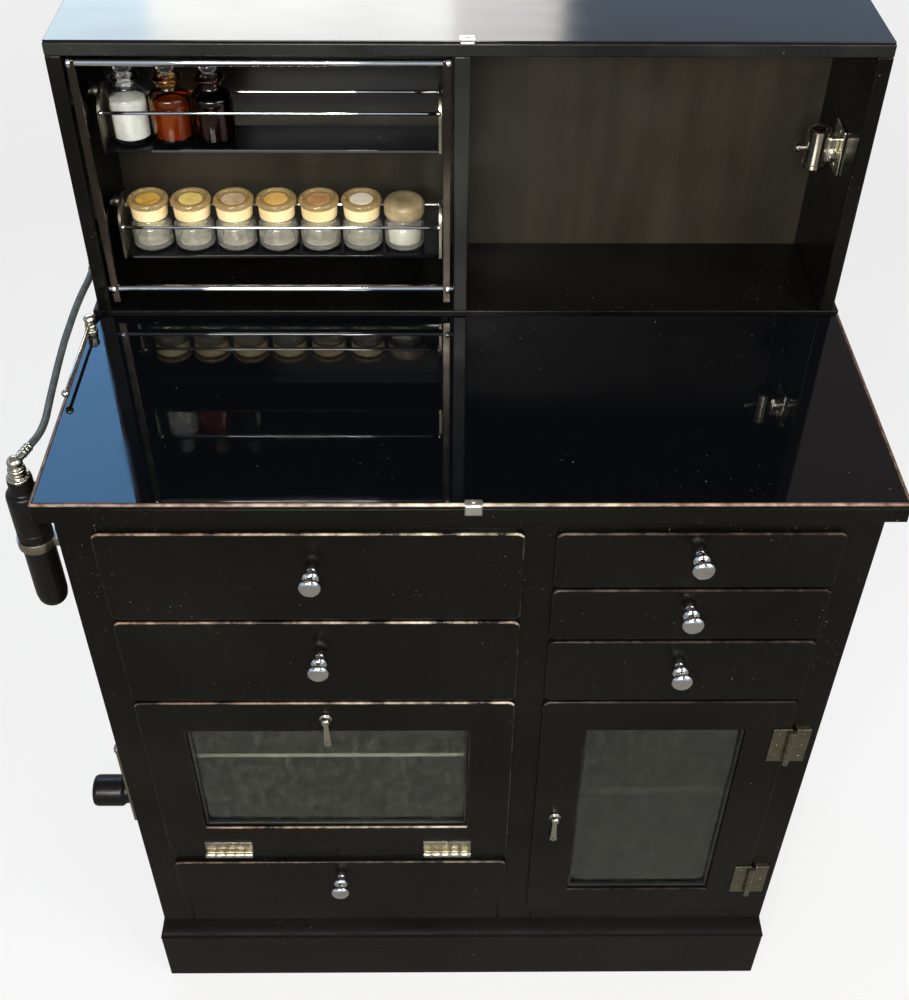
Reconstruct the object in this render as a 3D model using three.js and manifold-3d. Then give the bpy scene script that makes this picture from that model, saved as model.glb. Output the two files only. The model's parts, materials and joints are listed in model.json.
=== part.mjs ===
// A clinic treatment cabinet in black lacquered wood: six drawers, a drop-front and a side-hung
// glazed door, a black glass worktop, and a hutch with a tilting nickel rack of bottles and jars.
// Millimetres, +Z up, X to the right. Y runs back from the worktop's front edge while the pieces
// are made, and the finished group is moved so that the origin is on the floor under the middle.

import * as THREE from 'three';
import { mergeVertices } from 'three/addons/utils/BufferGeometryUtils.js';
import Module from 'manifold-3d';

const wasm = await Module();
wasm.setup();

// Driving dimensions of the whole cabinet
const WORKTOP_WIDTH = 864;
const WORKTOP_HEIGHT = 958;
const CABINET_DEPTH = 484;
const WORKTOP_BOARD = 18;
const WORKTOP_GLASS = 6;
const GLASS_INSET = 3;
const BACK_BOARD = 10;
const TOUCH_GAP = 0.3;

// Base cabinet
const BASE_OVERHANG = 9.5;
const SIDE_BOARD = 18;
const FRAME_SETBACK = 26;
const FRAME_BOARD = 20;
const OUTER_STILE = 35;
const MIDDLE_STILE = 32;
const TOP_RAIL = 35;
const LEFT_BOTTOM_RAIL = 80;
const RIGHT_BOTTOM_RAIL = 48;
const PARTITION_BOARD = 18;
const CLEAT_HEIGHT = 12;
const CLEAT_HOLD = 14;

// Plinth with its cove moulding and the cabinet floor
const PLINTH_PROUD_SIDE = 7.5;
const PLINTH_PROUD_FRONT = 13;
const PLINTH_HEIGHT = 102;
const MOULDING_HEIGHT = 30;
const FLOOR_BOARD = 14;
const PLINTH_BOARD = 40;
const SLEEPER_WIDTH = 40;
const COVE_STEPS = 5;

// Lipped drawer and door fronts
const FRONT_PROUD = 6;
const FRONT_COVER = 8;
const FRONT_GAP = 4;
const FRONT_INNER = 14;
const FRONT_CORNER = 9;
const FRONT_EASE = 1.5;
const RUN_GAP = 1.5;
const RIGHT_COLUMN = 299;
const LEFT_TOP_FRONT = 130;
const LEFT_MIDDLE_FRONT = 135;
const DROP_DOOR_SILL = 29;
const LEFT_BOTTOM_FRONT = 92;
const RIGHT_TOP_FRONT = 80;
const RIGHT_MIDDLE_FRONT = 79;

// Drawer boxes and knobs
const DRAWER_DEPTH = 390;
const DRAWER_WALL = 10;
const DRAWER_BOTTOM = 6;
const KNOB_LENGTH = 31;
const KNOB_FACE_RADIUS = 12.5;
const KNOB_NECK_RADIUS = 4;
const KNOB_BEAD_RADIUS = 9.5;
const KNOB_BASE_RADIUS = 5;
const KNOB_RISE = 12;

// Glazed doors, their latches and hinges
const DOOR_RAIL = 54;
const PANE_THICKNESS = 3;
const PANE_REBATE = 6;
const PANE_SETBACK = 8;
const LATCH_BOSS_RADIUS = 7.5;
const LATCH_BOSS_LENGTH = 10;
const LATCH_SPINDLE_RADIUS = 3;
const LATCH_TAIL_LENGTH = 48;
const LATCH_TAIL_WIDTH = 7;
const LATCH_TAIL_TIP = 5;
const LATCH_TAIL_THICKNESS = 4;
const HINGE_LENGTH = 62;
const HINGE_LEAF = 22;
const HINGE_LEAF_THICKNESS = 2;
const HINGE_KNUCKLE_RADIUS = 4.5;
const DROP_HINGE_INSET = 48;
const SIDE_HINGE_INSET = 50;

// Shelves in the two cupboards
const CUPBOARD_FLOOR = 12;
const GLASS_SHELF = 6;
const GLASS_SHELF_DROP = 150;
const GLASS_SHELF_SETBACK = 60;
const WOOD_SHELF = 14;
const WOOD_SHELF_DROP = 252;
const WOOD_SHELF_SETBACK = 80;
const SHELF_CLEAT = 12;

// Hutch
const HUTCH_INSET = 7;
const HUTCH_DEPTH = 158;
const HUTCH_HEIGHT = 324;
const HUTCH_BOARD = 16;
const HUTCH_STEP = 4;
const DIVIDER_OFFSET = -8;

// Tilting rack in the left half of the hutch
const RACK_SIDE_GAP = 3;
const RACK_BAR_WIDTH = 9;
const RACK_BAR_DEPTH = 4;
const RACK_PLATE = 2.5;
const RACK_PLATE_DEPTH = 8;
const RACK_FRONT_GAP = 2;
const RACK_ROD_RADIUS = 4;
const RACK_BAR_BOTTOM = 10;
const RACK_BAR_TOP = 5;
const RACK_PIVOT_RISE = 27;
const RACK_TOP_ROD_DROP = 9;
const TRAY_DEPTH = 58;
const TRAY_SETBACK = 45;
const TRAY_SIDE_GAP = 10;
const TRAY_SHELF = 4;
const TRAY_END = 3;
const TRAY_ROD_RADIUS = 2;
const TRAY_ROD_INSET = 3;
const TRAY_PIVOT_RISE = 54;
const TRAY_PIVOT_RADIUS = 3;
const TRAY_COLLAR_RADIUS = 6;
const TRAY_ARM_RADIUS = 8;
const UPPER_SHELF_RISE = 183;
const UPPER_ROD_RISE = 41;
const LOWER_SHELF_RISE = 50;
const LOWER_ROD_RISE = 35;
const PIN_CLEARANCE = 0.4;

// Bottles and jars that stand in the rack
const BOTTLE_RADIUS = 22.5;
const BOTTLE_SHOULDER = 50;
const BOTTLE_LIP = 72;
const BOTTLE_HEIGHT = 88;
const BOTTLE_NECK_RADIUS = 13;
const BOTTLE_LIP_RADIUS = 16.5;
const STOPPER_RADIUS = 10;
const BOTTLE_COUNT = 3;
const BOTTLE_PITCH = 45.5;
const BOTTLE_FIRST = 27.5;
const JAR_RADIUS = 23.5;
const JAR_BODY = 34;
const JAR_NECK_RADIUS = 19;
const JAR_NECK = 42;
const JAR_HEIGHT = 60;
const JAR_LID_DOME = 3;
const JAR_PITCH = 48.8;
const JAR_FIRST = 31;

// Rod socket on the right wall of the hutch
const SOCKET_RADIUS = 13;
const SOCKET_BORE = 7;
const SOCKET_LENGTH = 44;
const SOCKET_REACH = 25;
const SOCKET_SETBACK = 59;
const SOCKET_RISE = 158;
const SOCKET_ARM_WIDTH = 16;
const SOCKET_ARM_HEIGHT = 30;
const SOCKET_PLATE = 3;
const SOCKET_PLATE_WIDTH = 36;
const SOCKET_PLATE_HEIGHT = 52;
const THUMBSCREW_RADIUS = 2.5;
const THUMBSCREW_HEAD = 5;
const THUMBSCREW_LENGTH = 16;

// Hand-piece in its ring holder on the left side
const HANDPIECE_STANDOFF = 35.5;
const HANDPIECE_SETBACK = 60;
const HANDPIECE_DROP = 33;
const HANDPIECE_LENGTH = 166;
const HANDPIECE_RADIUS = 18.5;
const HANDPIECE_GRIP_RADIUS = 17;
const HANDPIECE_CAP_RADIUS = 13;
const HANDPIECE_CAP = 20;
const HANDPIECE_COLLAR_RADIUS = 8.5;
const HANDPIECE_COLLAR = 12;
const HANDPIECE_ELBOW_RADIUS = 8;
const RING_HEIGHT = 12;
const RING_WALL = 2.5;
const RING_DROP = 64;
const RING_ARM_WIDTH = 12;
const RING_PLATE = 4;
const RING_PLATE_WIDTH = 30;
const RING_PLATE_HEIGHT = 40;

// Hose from the outlet on the hutch to the hand-piece, hanging free between them
const HOSE_RADIUS = 4;
const HOSE_SIDES = 10;
const HOSE_STEPS = 18;
const NIPPLE_RADIUS = 4.5;
const NIPPLE_LENGTH = 26;
const OUTLET_SETBACK = 62;
const OUTLET_RISE = 29.5;
const OUTLET_REACH = 12;
const OUTLET_FLANGE_RADIUS = 11;
const OUTLET_FLANGE = 4;
const OUTLET_STEM_RADIUS = 6;
const OUTLET_BALL_RADIUS = 7.5;
const OUTLET_NIPPLE = 15;
const HOSE_ROUTE = [
  [-437, 372.5, 987],
  [-437.4, 362, 986],
  [-438.6, 352, 984.4],
  [-441.2, 337, 982],
  [-443.6, 322, 979],
  [-446, 300, 975],
  [-447.4, 281, 971.6],
  [-448.8, 262, 968],
  [-449.4, 243, 964.6],
  [-449.6, 220, 960.8],
  [-449.2, 196, 957.4],
  [-448.4, 174, 955.2],
  [-447, 154, 954.4],
  [-445.4, 138, 955.2],
  [-444.4, 122, 957.2],
  [-444.4, 108, 959.4],
  [-446.2, 96.5, 960.6],
  [-449.4, 86.5, 960.8],
];

// Lever valve on the worktop's left edge
const VALVE_EDGE_INSET = 5;
const VALVE_HUTCH_GAP = 34;
const VALVE_FLANGE_RADIUS = 7.5;
const VALVE_FLANGE = 3;
const VALVE_POST_RADIUS = 5;
const VALVE_POST = 6;
const VALVE_HUB_RADIUS = 6.5;
const VALVE_HUB = 15;
const LEVER_RISE = 5;
const LEVER_LENGTH = 130;
const LEVER_RADIUS = 1.8;
const LEVER_BALL_RADIUS = 4.5;

// Regulator knob and its plate low on the left side
const REGULATOR_SETBACK = 46;
const REGULATOR_DROP = 540;
const REGULATOR_PLATE = 4;
const REGULATOR_PLATE_WIDTH = 36;
const REGULATOR_PLATE_HEIGHT = 150;
const REGULATOR_PLATE_DROP = 42;
const REGULATOR_SCREW_RADIUS = 7;
const REGULATOR_SCREW_LENGTH = 8;
const REGULATOR_SCREW_INSET = 20;
const REGULATOR_KNOB_RADIUS = 20;
const REGULATOR_KNOB_LENGTH = 46;

const ROUND_SIDES = 14;
const PIN_SIDES = 12;

// Places that follow from the driving dimensions
const worktopHalf = WORKTOP_WIDTH / 2;
const baseHalf = worktopHalf - BASE_OVERHANG;
const baseInner = baseHalf - SIDE_BOARD;
const hutchHalf = worktopHalf - HUTCH_INSET;
const hutchFront = CABINET_DEPTH - HUTCH_DEPTH;
const hutchInner = hutchHalf - HUTCH_BOARD;
const floorTop = PLINTH_HEIGHT + FLOOR_BOARD;
const glassBottom = WORKTOP_HEIGHT - WORKTOP_GLASS;
const baseTop = glassBottom - WORKTOP_BOARD;
const frameBack = FRAME_SETBACK + FRAME_BOARD;
const backFace = CABINET_DEPTH - BACK_BOARD;
const frontFace = FRAME_SETBACK - FRONT_PROUD;
const lipBack = FRAME_SETBACK - TOUCH_GAP;
const hutchFloor = WORKTOP_HEIGHT + HUTCH_STEP;
const hutchTop = WORKTOP_HEIGHT + HUTCH_HEIGHT;
const hutchCeiling = hutchTop - HUTCH_BOARD;
const handpieceTop = WORKTOP_HEIGHT - HANDPIECE_DROP;
const handpieceBottom = handpieceTop - HANDPIECE_LENGTH;
const ringLevel = handpieceTop - RING_DROP - RING_HEIGHT;
const regulatorLevel = WORKTOP_HEIGHT - REGULATOR_DROP;

// Finishes
const finish = (color, roughness, metalness) =>
  new THREE.MeshStandardMaterial({ color, roughness, metalness });
const lacquer = finish(0x15120f, 0.35, 0);
const blackGlass = finish(0x06070a, 0.05, 0);
const nickel = finish(0xbab39c, 0.25, 1);
const chrome = finish(0xd6d8da, 0.12, 1);
const paneGlass = finish(0x6d716c, 0.15, 0);
const jarGlass = finish(0xd9d6c2, 0.1, 0);
const whiteBottle = finish(0xe9ece8, 0.15, 0);
const amberBottle = finish(0x6e2a0b, 0.12, 0);
const darkBottle = finish(0x140d0a, 0.12, 0);
const hoseRubber = finish(0x39443f, 0.6, 0);
const ebonite = finish(0x11100f, 0.4, 0);

// Cleans a geometry to one closed skin: shared corners merged, slivers dropped, faces turned outwards
function closedSkin(geometry) {
  const bare = geometry.clone();
  bare.deleteAttribute('normal');
  bare.deleteAttribute('uv');
  const merged = mergeVertices(bare, 1e-4);
  const point = merged.getAttribute('position');
  const corner = [new THREE.Vector3(), new THREE.Vector3(), new THREE.Vector3()];
  const kept = [];
  let volume = 0;
  for (let i = 0; i < merged.index.count; i += 3) {
    const face = [0, 1, 2].map((k) => merged.index.getX(i + k));
    if (new Set(face).size === 3) {
      face.forEach((at, k) => corner[k].fromBufferAttribute(point, at));
      volume += corner[0].dot(corner[1].clone().cross(corner[2]));
      kept.push(face);
    }
  }
  merged.setIndex((volume < 0 ? kept.map((face) => face.reverse()) : kept).flat());
  return merged;
}

const toSolid = (geometry) => {
  const skin = closedSkin(geometry);
  const vertProperties = new Float32Array(skin.getAttribute('position').array);
  const triVerts = new Uint32Array(skin.index.array);
  return new wasm.Manifold(new wasm.Mesh({ numProp: 3, vertProperties, triVerts }));
};

const fromSolid = (solid) => {
  const mesh = solid.getMesh();
  const geometry = new THREE.BufferGeometry();
  geometry.setAttribute('position', new THREE.BufferAttribute(new Float32Array(mesh.vertProperties), 3));
  geometry.setIndex(Array.from(mesh.triVerts));
  return geometry;
};

const join = (...shapes) => fromSolid(shapes.map(toSolid).reduce((whole, piece) => whole.add(piece)));
const cut = (shape, ...tools) =>
  fromSolid(tools.map(toSolid).reduce((left, tool) => left.subtract(tool), toSolid(shape)));
const overlap = (a, b) => fromSolid(toSolid(a).intersect(toSolid(b)));

// Moves every corner of a geometry by a rule, so that shared faces keep exactly the same numbers
function remap(geometry, rule) {
  const point = geometry.getAttribute('position');
  for (let i = 0; i < point.count; i += 1) {
    point.setXYZ(i, ...rule(point.getX(i), point.getY(i), point.getZ(i)));
  }
  return geometry;
}

const box = (x0, x1, y0, y1, z0, z1) =>
  remap(new THREE.BoxGeometry(1, 1, 1), (x, y, z) => [x < 0 ? x0 : x1, y < 0 ? y0 : y1, z < 0 ? z0 : z1]);

const outline = (points) => new THREE.Shape(points.map(([u, v]) => new THREE.Vector2(u, v)));
const flat = (shape) => new THREE.ExtrudeGeometry(shape, { depth: 1, bevelEnabled: false, curveSegments: 8 });

// Extrusions of an outline drawn across each axis
const alongX = (shape, x0, x1) => remap(flat(shape), (u, v, w) => [w < 0.5 ? x0 : x1, u, v]);
const alongY = (shape, y0, y1) => remap(flat(shape), (u, v, w) => [u, w < 0.5 ? y1 : y0, v]);

// Turned shapes: a profile of radius and height, round an axis that points up, forwards or sideways
const turned = (profile, sides) =>
  new THREE.LatheGeometry(profile.map(([r, h]) => new THREE.Vector2(r, h)), sides);
const turnedUp = (profile, x, y, z, sides = ROUND_SIDES) =>
  remap(turned(profile, sides), (u, h, w) => [x + u, y - w, z + h]);
const turnedForward = (profile, x, y, z, sides = ROUND_SIDES) =>
  remap(turned(profile, sides), (u, h, w) => [x + u, y - h, z - w]);
const turnedLeft = (profile, x, y, z, sides = ROUND_SIDES) =>
  remap(turned(profile, sides), (u, h, w) => [x - h, y + u, z + w]);

const rod = (radius, length) => [[0, 0], [radius, 0], [radius, length], [0, length]];
const ball = (radius) => {
  const arc = new THREE.EllipseCurve(0, 0, radius, radius, -Math.PI / 2, Math.PI / 2).getPoints(6);
  return arc.map(({ x, y }) => [Math.max(x, 0), y]);
};
const rodAcross = (radius, x0, x1, y, z) => turnedLeft(rod(radius, x1 - x0), x1, y, z, PIN_SIDES);

const cabinet = new THREE.Group();
cabinet.position.y = -CABINET_DEPTH / 2;

function add(name, geometry, material) {
  const skin = closedSkin(geometry);
  const faceted = skin.toNonIndexed();
  faceted.computeVertexNormals();
  const mesh = new THREE.Mesh(faceted, material.clone());
  mesh.name = name;
  cabinet.add(mesh);
}

// Fronts, laid out from the top rail down in the two columns
const columnTop = baseTop - TOP_RAIL;
const leftColumn = [-baseHalf + OUTER_STILE, baseHalf - OUTER_STILE - RIGHT_COLUMN - MIDDLE_STILE];
const rightColumn = [baseHalf - OUTER_STILE - RIGHT_COLUMN, baseHalf - OUTER_STILE];
const frontAt = (column, top, height) => ({ x0: column[0], x1: column[1], z0: top - height, z1: top });
const below = (front, gap, height, column) => frontAt(column, front.z0 - gap, height);

const leftTop = frontAt(leftColumn, columnTop, LEFT_TOP_FRONT);
const leftMiddle = below(leftTop, FRONT_GAP, LEFT_MIDDLE_FRONT, leftColumn);
const leftBottom = frontAt(leftColumn, floorTop + LEFT_BOTTOM_RAIL + LEFT_BOTTOM_FRONT, LEFT_BOTTOM_FRONT);
const doorTop = leftMiddle.z0 - FRONT_GAP;
const dropDoor = frontAt(leftColumn, doorTop, doorTop - DROP_DOOR_SILL - leftBottom.z1);
const rightTop = frontAt(rightColumn, columnTop, RIGHT_TOP_FRONT);
const rightMiddle = below(rightTop, FRONT_GAP, RIGHT_MIDDLE_FRONT, rightColumn);
const rightLower = below(rightMiddle, FRONT_GAP, rightMiddle.z0 - FRONT_GAP - leftMiddle.z0, rightColumn);
const sideDoor = frontAt(rightColumn, doorTop, doorTop - floorTop - RIGHT_BOTTOM_RAIL);

const opening = ({ x0, x1, z0, z1 }) =>
  ({ x0: x0 + FRONT_COVER, x1: x1 - FRONT_COVER, z0: z0 + FRONT_COVER, z1: z1 - FRONT_COVER });
const inside = ({ x0, x1, z0, z1 }, gap) => ({ x0: x0 + gap, x1: x1 - gap, z0: z0 + gap, z1: z1 - gap });

const drawers = [
  ['left_top', leftTop],
  ['left_middle', leftMiddle],
  ['left_bottom', leftBottom],
  ['right_top', rightTop],
  ['right_middle', rightMiddle],
  ['right_lower', rightLower],
];
const leftDrawers = [leftTop, leftMiddle, leftBottom];
const rightDrawers = [rightTop, rightMiddle, rightLower];

// Plinth: cove-moulded skirting with the cabinet floor and a middle sleeper, hollow underneath
function coveCorner(outer, inner) {
  const points = [];
  for (let i = 0; i <= COVE_STEPS; i += 1) {
    const turn = (i / COVE_STEPS) * (Math.PI / 2);
    const across = inner + (outer - inner) * (1 - Math.sin(turn));
    points.push([across, PLINTH_HEIGHT + MOULDING_HEIGHT * (1 - Math.cos(turn))]);
  }
  return points;
}

function addPlinth() {
  const outerHalf = baseHalf + PLINTH_PROUD_SIDE;
  const front = FRAME_SETBACK - PLINTH_PROUD_FRONT;
  const rightEdge = coveCorner(outerHalf, baseHalf);
  const leftEdge = coveCorner(-outerHalf, -baseHalf).reverse();
  const endOn = outline([[-outerHalf, 0], [outerHalf, 0], ...rightEdge, ...leftEdge]);
  const across = alongY(endOn, front, CABINET_DEPTH);
  const frontEdge = coveCorner(front, FRAME_SETBACK).reverse();
  const backTop = [CABINET_DEPTH, PLINTH_HEIGHT + MOULDING_HEIGHT];
  const sideOn = outline([[front, 0], [CABINET_DEPTH, 0], backTop, ...frontEdge]);
  const sideways = alongX(sideOn, -outerHalf, outerHalf);
  const above = PLINTH_HEIGHT + 2 * MOULDING_HEIGHT;
  const well = box(-baseHalf, baseHalf, FRAME_SETBACK, 2 * CABINET_DEPTH, floorTop, above);
  const pocket = (x0, x1) =>
    box(x0, x1, front + PLINTH_BOARD, CABINET_DEPTH - PLINTH_BOARD, -PLINTH_HEIGHT, PLINTH_HEIGHT);
  const pockets = [
    pocket(-outerHalf + PLINTH_BOARD, -SLEEPER_WIDTH / 2),
    pocket(SLEEPER_WIDTH / 2, outerHalf - PLINTH_BOARD),
  ];
  add('plinth', cut(overlap(across, sideways), well, ...pockets), lacquer);
}

// Upright boards whose cleats carry the drawers and shelves
const seatOf = (front) => opening(front).z0 + RUN_GAP - TOUCH_GAP;
const leftShelfSeat = dropDoor.z1 - GLASS_SHELF_DROP - GLASS_SHELF;
const rightShelfSeat = sideDoor.z1 - WOOD_SHELF_DROP - WOOD_SHELF;
const partitionMiddle = (leftColumn[1] + rightColumn[0]) / 2;
const partitionLeft = partitionMiddle - PARTITION_BOARD / 2;
const partitionRight = partitionMiddle + PARTITION_BOARD / 2;

const drawerCleats = (fronts, reach) => fronts.map((front) => ({ top: seatOf(front), reach }));
function cleatedEdge(wall, cleats) {
  const ordered = [...cleats].sort((a, b) => a.top - b.top);
  const edge = [[wall, floorTop]];
  ordered.forEach(({ top, reach }) => {
    edge.push([wall, top - CLEAT_HEIGHT], [reach, top - CLEAT_HEIGHT], [reach, top], [wall, top]);
  });
  edge.push([wall, baseTop]);
  return edge;
}

function addUprights() {
  const hold = FRONT_COVER + RUN_GAP + CLEAT_HOLD;
  const leftWall = cleatedEdge(-baseInner, [
    ...drawerCleats(leftDrawers, leftColumn[0] + hold),
    { top: leftShelfSeat, reach: -baseInner + SHELF_CLEAT },
  ]);
  const partitionFacingLeft = cleatedEdge(partitionLeft, [
    ...drawerCleats(leftDrawers, leftColumn[1] - hold),
    { top: leftShelfSeat, reach: partitionLeft - SHELF_CLEAT },
  ]);
  const partitionFacingRight = cleatedEdge(partitionRight, [
    ...drawerCleats(rightDrawers, rightColumn[0] + hold),
    { top: rightShelfSeat, reach: partitionRight + SHELF_CLEAT },
  ]);
  const rightWall = cleatedEdge(baseInner, [
    ...drawerCleats(rightDrawers, rightColumn[1] - hold),
    { top: rightShelfSeat, reach: baseInner - SHELF_CLEAT },
  ]);
  const upright = (name, edge) => add(name, alongY(outline(edge), frameBack, backFace), lacquer);
  upright('base_left_side', [[-baseHalf, baseTop], [-baseHalf, floorTop], ...leftWall]);
  upright('partition', [...partitionFacingRight, ...partitionFacingLeft.reverse()]);
  upright('base_right_side', [[baseHalf, floorTop], [baseHalf, baseTop], ...rightWall.reverse()]);
}

function addCarcass() {
  const fronts = [leftTop, leftMiddle, dropDoor, leftBottom, rightTop, rightMiddle, rightLower, sideDoor];
  const holes = fronts.map(opening).map(({ x0, x1, z0, z1 }) => box(x0, x1, 0, 2 * frameBack, z0, z1));
  const face = box(-baseHalf, baseHalf, FRAME_SETBACK, frameBack, floorTop, baseTop);
  add('face_frame', cut(face, ...holes), lacquer);

  const sill = opening(dropDoor).z0;
  const cupboardFloor = box(-baseInner, partitionLeft, frameBack, backFace, sill - CUPBOARD_FLOOR, sill);
  add('left_cupboard_floor', cupboardFloor, lacquer);
  const glassShelf = box(-baseInner + TOUCH_GAP, partitionLeft - TOUCH_GAP, GLASS_SHELF_SETBACK,
    backFace - TOUCH_GAP, leftShelfSeat, leftShelfSeat + GLASS_SHELF);
  add('left_cupboard_shelf', glassShelf, paneGlass);
  const woodShelf = box(partitionRight + TOUCH_GAP, baseInner - TOUCH_GAP, WOOD_SHELF_SETBACK,
    backFace - TOUCH_GAP, rightShelfSeat, rightShelfSeat + WOOD_SHELF);
  add('right_cupboard_shelf', woodShelf, lacquer);

  add('back_panel', box(-baseHalf, baseHalf, backFace, CABINET_DEPTH, floorTop, hutchCeiling), lacquer);
  const topProfile = outline([
    [0, baseTop], [backFace, baseTop], [backFace, hutchFloor],
    [hutchFront, hutchFloor], [hutchFront, glassBottom], [0, glassBottom],
  ]);
  add('worktop_board', alongX(topProfile, -worktopHalf, worktopHalf), lacquer);
  const glassHalf = worktopHalf - GLASS_INSET;
  const glass = box(-glassHalf, glassHalf, GLASS_INSET, hutchFront, glassBottom, WORKTOP_HEIGHT);
  add('worktop_glass', glass, blackGlass);
}

// Hutch on the back of the worktop, divided into the rack on the left and an open cubby
const dividerLeft = DIVIDER_OFFSET - HUTCH_BOARD / 2;
const dividerRight = DIVIDER_OFFSET + HUTCH_BOARD / 2;

function addHutch() {
  const upright = (name, x0, x1) =>
    add(name, box(x0, x1, hutchFront, backFace, hutchFloor, hutchCeiling), lacquer);
  upright('hutch_left_side', -hutchHalf, -hutchInner);
  upright('hutch_divider', dividerLeft, dividerRight);
  upright('hutch_right_side', hutchInner, hutchHalf);
  add('hutch_top', box(-hutchHalf, hutchHalf, hutchFront, CABINET_DEPTH, hutchCeiling, hutchTop), lacquer);
}

// The proud lip of a front: a board with rounded corners and eased edges
function lipBoard({ x0, x1, z0, z1 }) {
  const r = FRONT_CORNER;
  const shape = new THREE.Shape();
  shape.absarc(x1 - r, z0 + r, r, -Math.PI / 2, 0);
  shape.absarc(x1 - r, z1 - r, r, 0, Math.PI / 2);
  shape.absarc(x0 + r, z1 - r, r, Math.PI / 2, Math.PI);
  shape.absarc(x0 + r, z0 + r, r, Math.PI, 1.5 * Math.PI);
  const ease = {
    depth: lipBack - frontFace - 2 * FRONT_EASE,
    bevelThickness: FRONT_EASE,
    bevelSize: FRONT_EASE,
    bevelOffset: -FRONT_EASE,
    bevelSegments: 1,
    curveSegments: 3,
  };
  return remap(new THREE.ExtrudeGeometry(shape, ease), (u, v, w) => [u, lipBack - FRONT_EASE - w, v]);
}

// Where a lip and the body behind it are joined, the body starts a little inside the lip
const lipBite = lipBack - FRONT_EASE;

function addDrawer(name, front) {
  const hole = inside(opening(front), RUN_GAP);
  const rear = FRAME_SETBACK + DRAWER_DEPTH;
  const body = box(hole.x0, hole.x1, lipBite, rear, hole.z0, hole.z1);
  const well = box(hole.x0 + DRAWER_WALL, hole.x1 - DRAWER_WALL, FRAME_SETBACK + FRONT_INNER,
    rear - DRAWER_WALL, hole.z0 + DRAWER_BOTTOM, baseTop);
  add(`drawer_${name}`, cut(join(lipBoard(front), body), well), lacquer);

  const knob = [
    [0, 0],
    [KNOB_BASE_RADIUS, 0],
    [KNOB_BASE_RADIUS, KNOB_LENGTH * 0.05],
    [KNOB_NECK_RADIUS, KNOB_LENGTH * 0.09],
    [KNOB_NECK_RADIUS, KNOB_LENGTH * 0.16],
    [KNOB_BEAD_RADIUS, KNOB_LENGTH * 0.29],
    [KNOB_BEAD_RADIUS, KNOB_LENGTH * 0.4],
    [KNOB_NECK_RADIUS, KNOB_LENGTH * 0.53],
    [KNOB_NECK_RADIUS, KNOB_LENGTH * 0.58],
    [KNOB_FACE_RADIUS, KNOB_LENGTH * 0.77],
    [KNOB_FACE_RADIUS, KNOB_LENGTH * 0.87],
    [KNOB_FACE_RADIUS * 0.6, KNOB_LENGTH * 0.97],
    [0, KNOB_LENGTH],
  ];
  const middle = (front.x0 + front.x1) / 2;
  const level = (front.z0 + front.z1) / 2 + KNOB_RISE;
  add(`knob_${name}`, turnedForward(knob, middle, frontFace, level), chrome);
}

// A glazed door: a lipped frame with its pane bedded in a rebate from behind
function addDoor(name, front, latchX, latchZ) {
  const body = inside(opening(front), RUN_GAP);
  const rear = FRAME_SETBACK + FRONT_INNER;
  const window = inside(front, DOOR_RAIL);
  const rebate = inside(window, -PANE_REBATE);
  const pane = inside(rebate, TOUCH_GAP);
  const paneFront = frontFace + PANE_SETBACK;
  const slab = join(lipBoard(front), box(body.x0, body.x1, lipBite, rear, body.z0, body.z1));
  const frame = cut(
    slab,
    box(window.x0, window.x1, 0, rear + FRONT_INNER, window.z0, window.z1),
    box(rebate.x0, rebate.x1, paneFront, rear + FRONT_INNER, rebate.z0, rebate.z1),
    turnedForward(rod(LATCH_SPINDLE_RADIUS + PIN_CLEARANCE, 2 * rear), latchX, 2 * rear, latchZ, PIN_SIDES),
  );
  add(`${name}_frame`, frame, lacquer);
  const paneRear = paneFront + TOUCH_GAP + PANE_THICKNESS;
  add(`${name}_pane`, box(pane.x0, pane.x1, paneFront + TOUCH_GAP, paneRear, pane.z0, pane.z1), paneGlass);
  add(`${name}_latch`, latchLever(latchX, latchZ, rear), nickel);
}

function latchLever(x, z, rear) {
  const seat = frontFace - TOUCH_GAP;
  const tip = seat - LATCH_BOSS_LENGTH;
  const boss = turnedForward([
    [0, 0],
    [LATCH_BOSS_RADIUS, 0],
    [LATCH_BOSS_RADIUS, LATCH_BOSS_LENGTH * 0.7],
    [LATCH_BOSS_RADIUS * 0.6, LATCH_BOSS_LENGTH],
    [0, LATCH_BOSS_LENGTH],
  ], x, seat, z);
  const spindle = turnedForward(rod(LATCH_SPINDLE_RADIUS, rear - tip), x, rear, z, PIN_SIDES);
  const tail = new THREE.Shape();
  const tipLevel = z - LATCH_TAIL_LENGTH + LATCH_TAIL_TIP;
  tail.moveTo(x - LATCH_TAIL_WIDTH / 2, z);
  tail.lineTo(x - LATCH_TAIL_TIP, tipLevel);
  tail.absarc(x, tipLevel, LATCH_TAIL_TIP, Math.PI, 2 * Math.PI);
  tail.lineTo(x + LATCH_TAIL_WIDTH / 2, z);
  const tailFront = seat - LATCH_BOSS_LENGTH * 0.6;
  return join(boss, spindle, alongY(tail, tailFront, tailFront + LATCH_TAIL_THICKNESS));
}

// Half-surface hinges: a leaf on the door's face and a knuckle along the door's edge
const hingeAxisFront = frontFace - HINGE_LEAF_THICKNESS / 2 - HINGE_KNUCKLE_RADIUS;
const dropHingeLevel = dropDoor.z0 - TOUCH_GAP;
const sideHingeX = sideDoor.x1 + TOUCH_GAP;
const leafFront = frontFace - HINGE_LEAF_THICKNESS;

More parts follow.
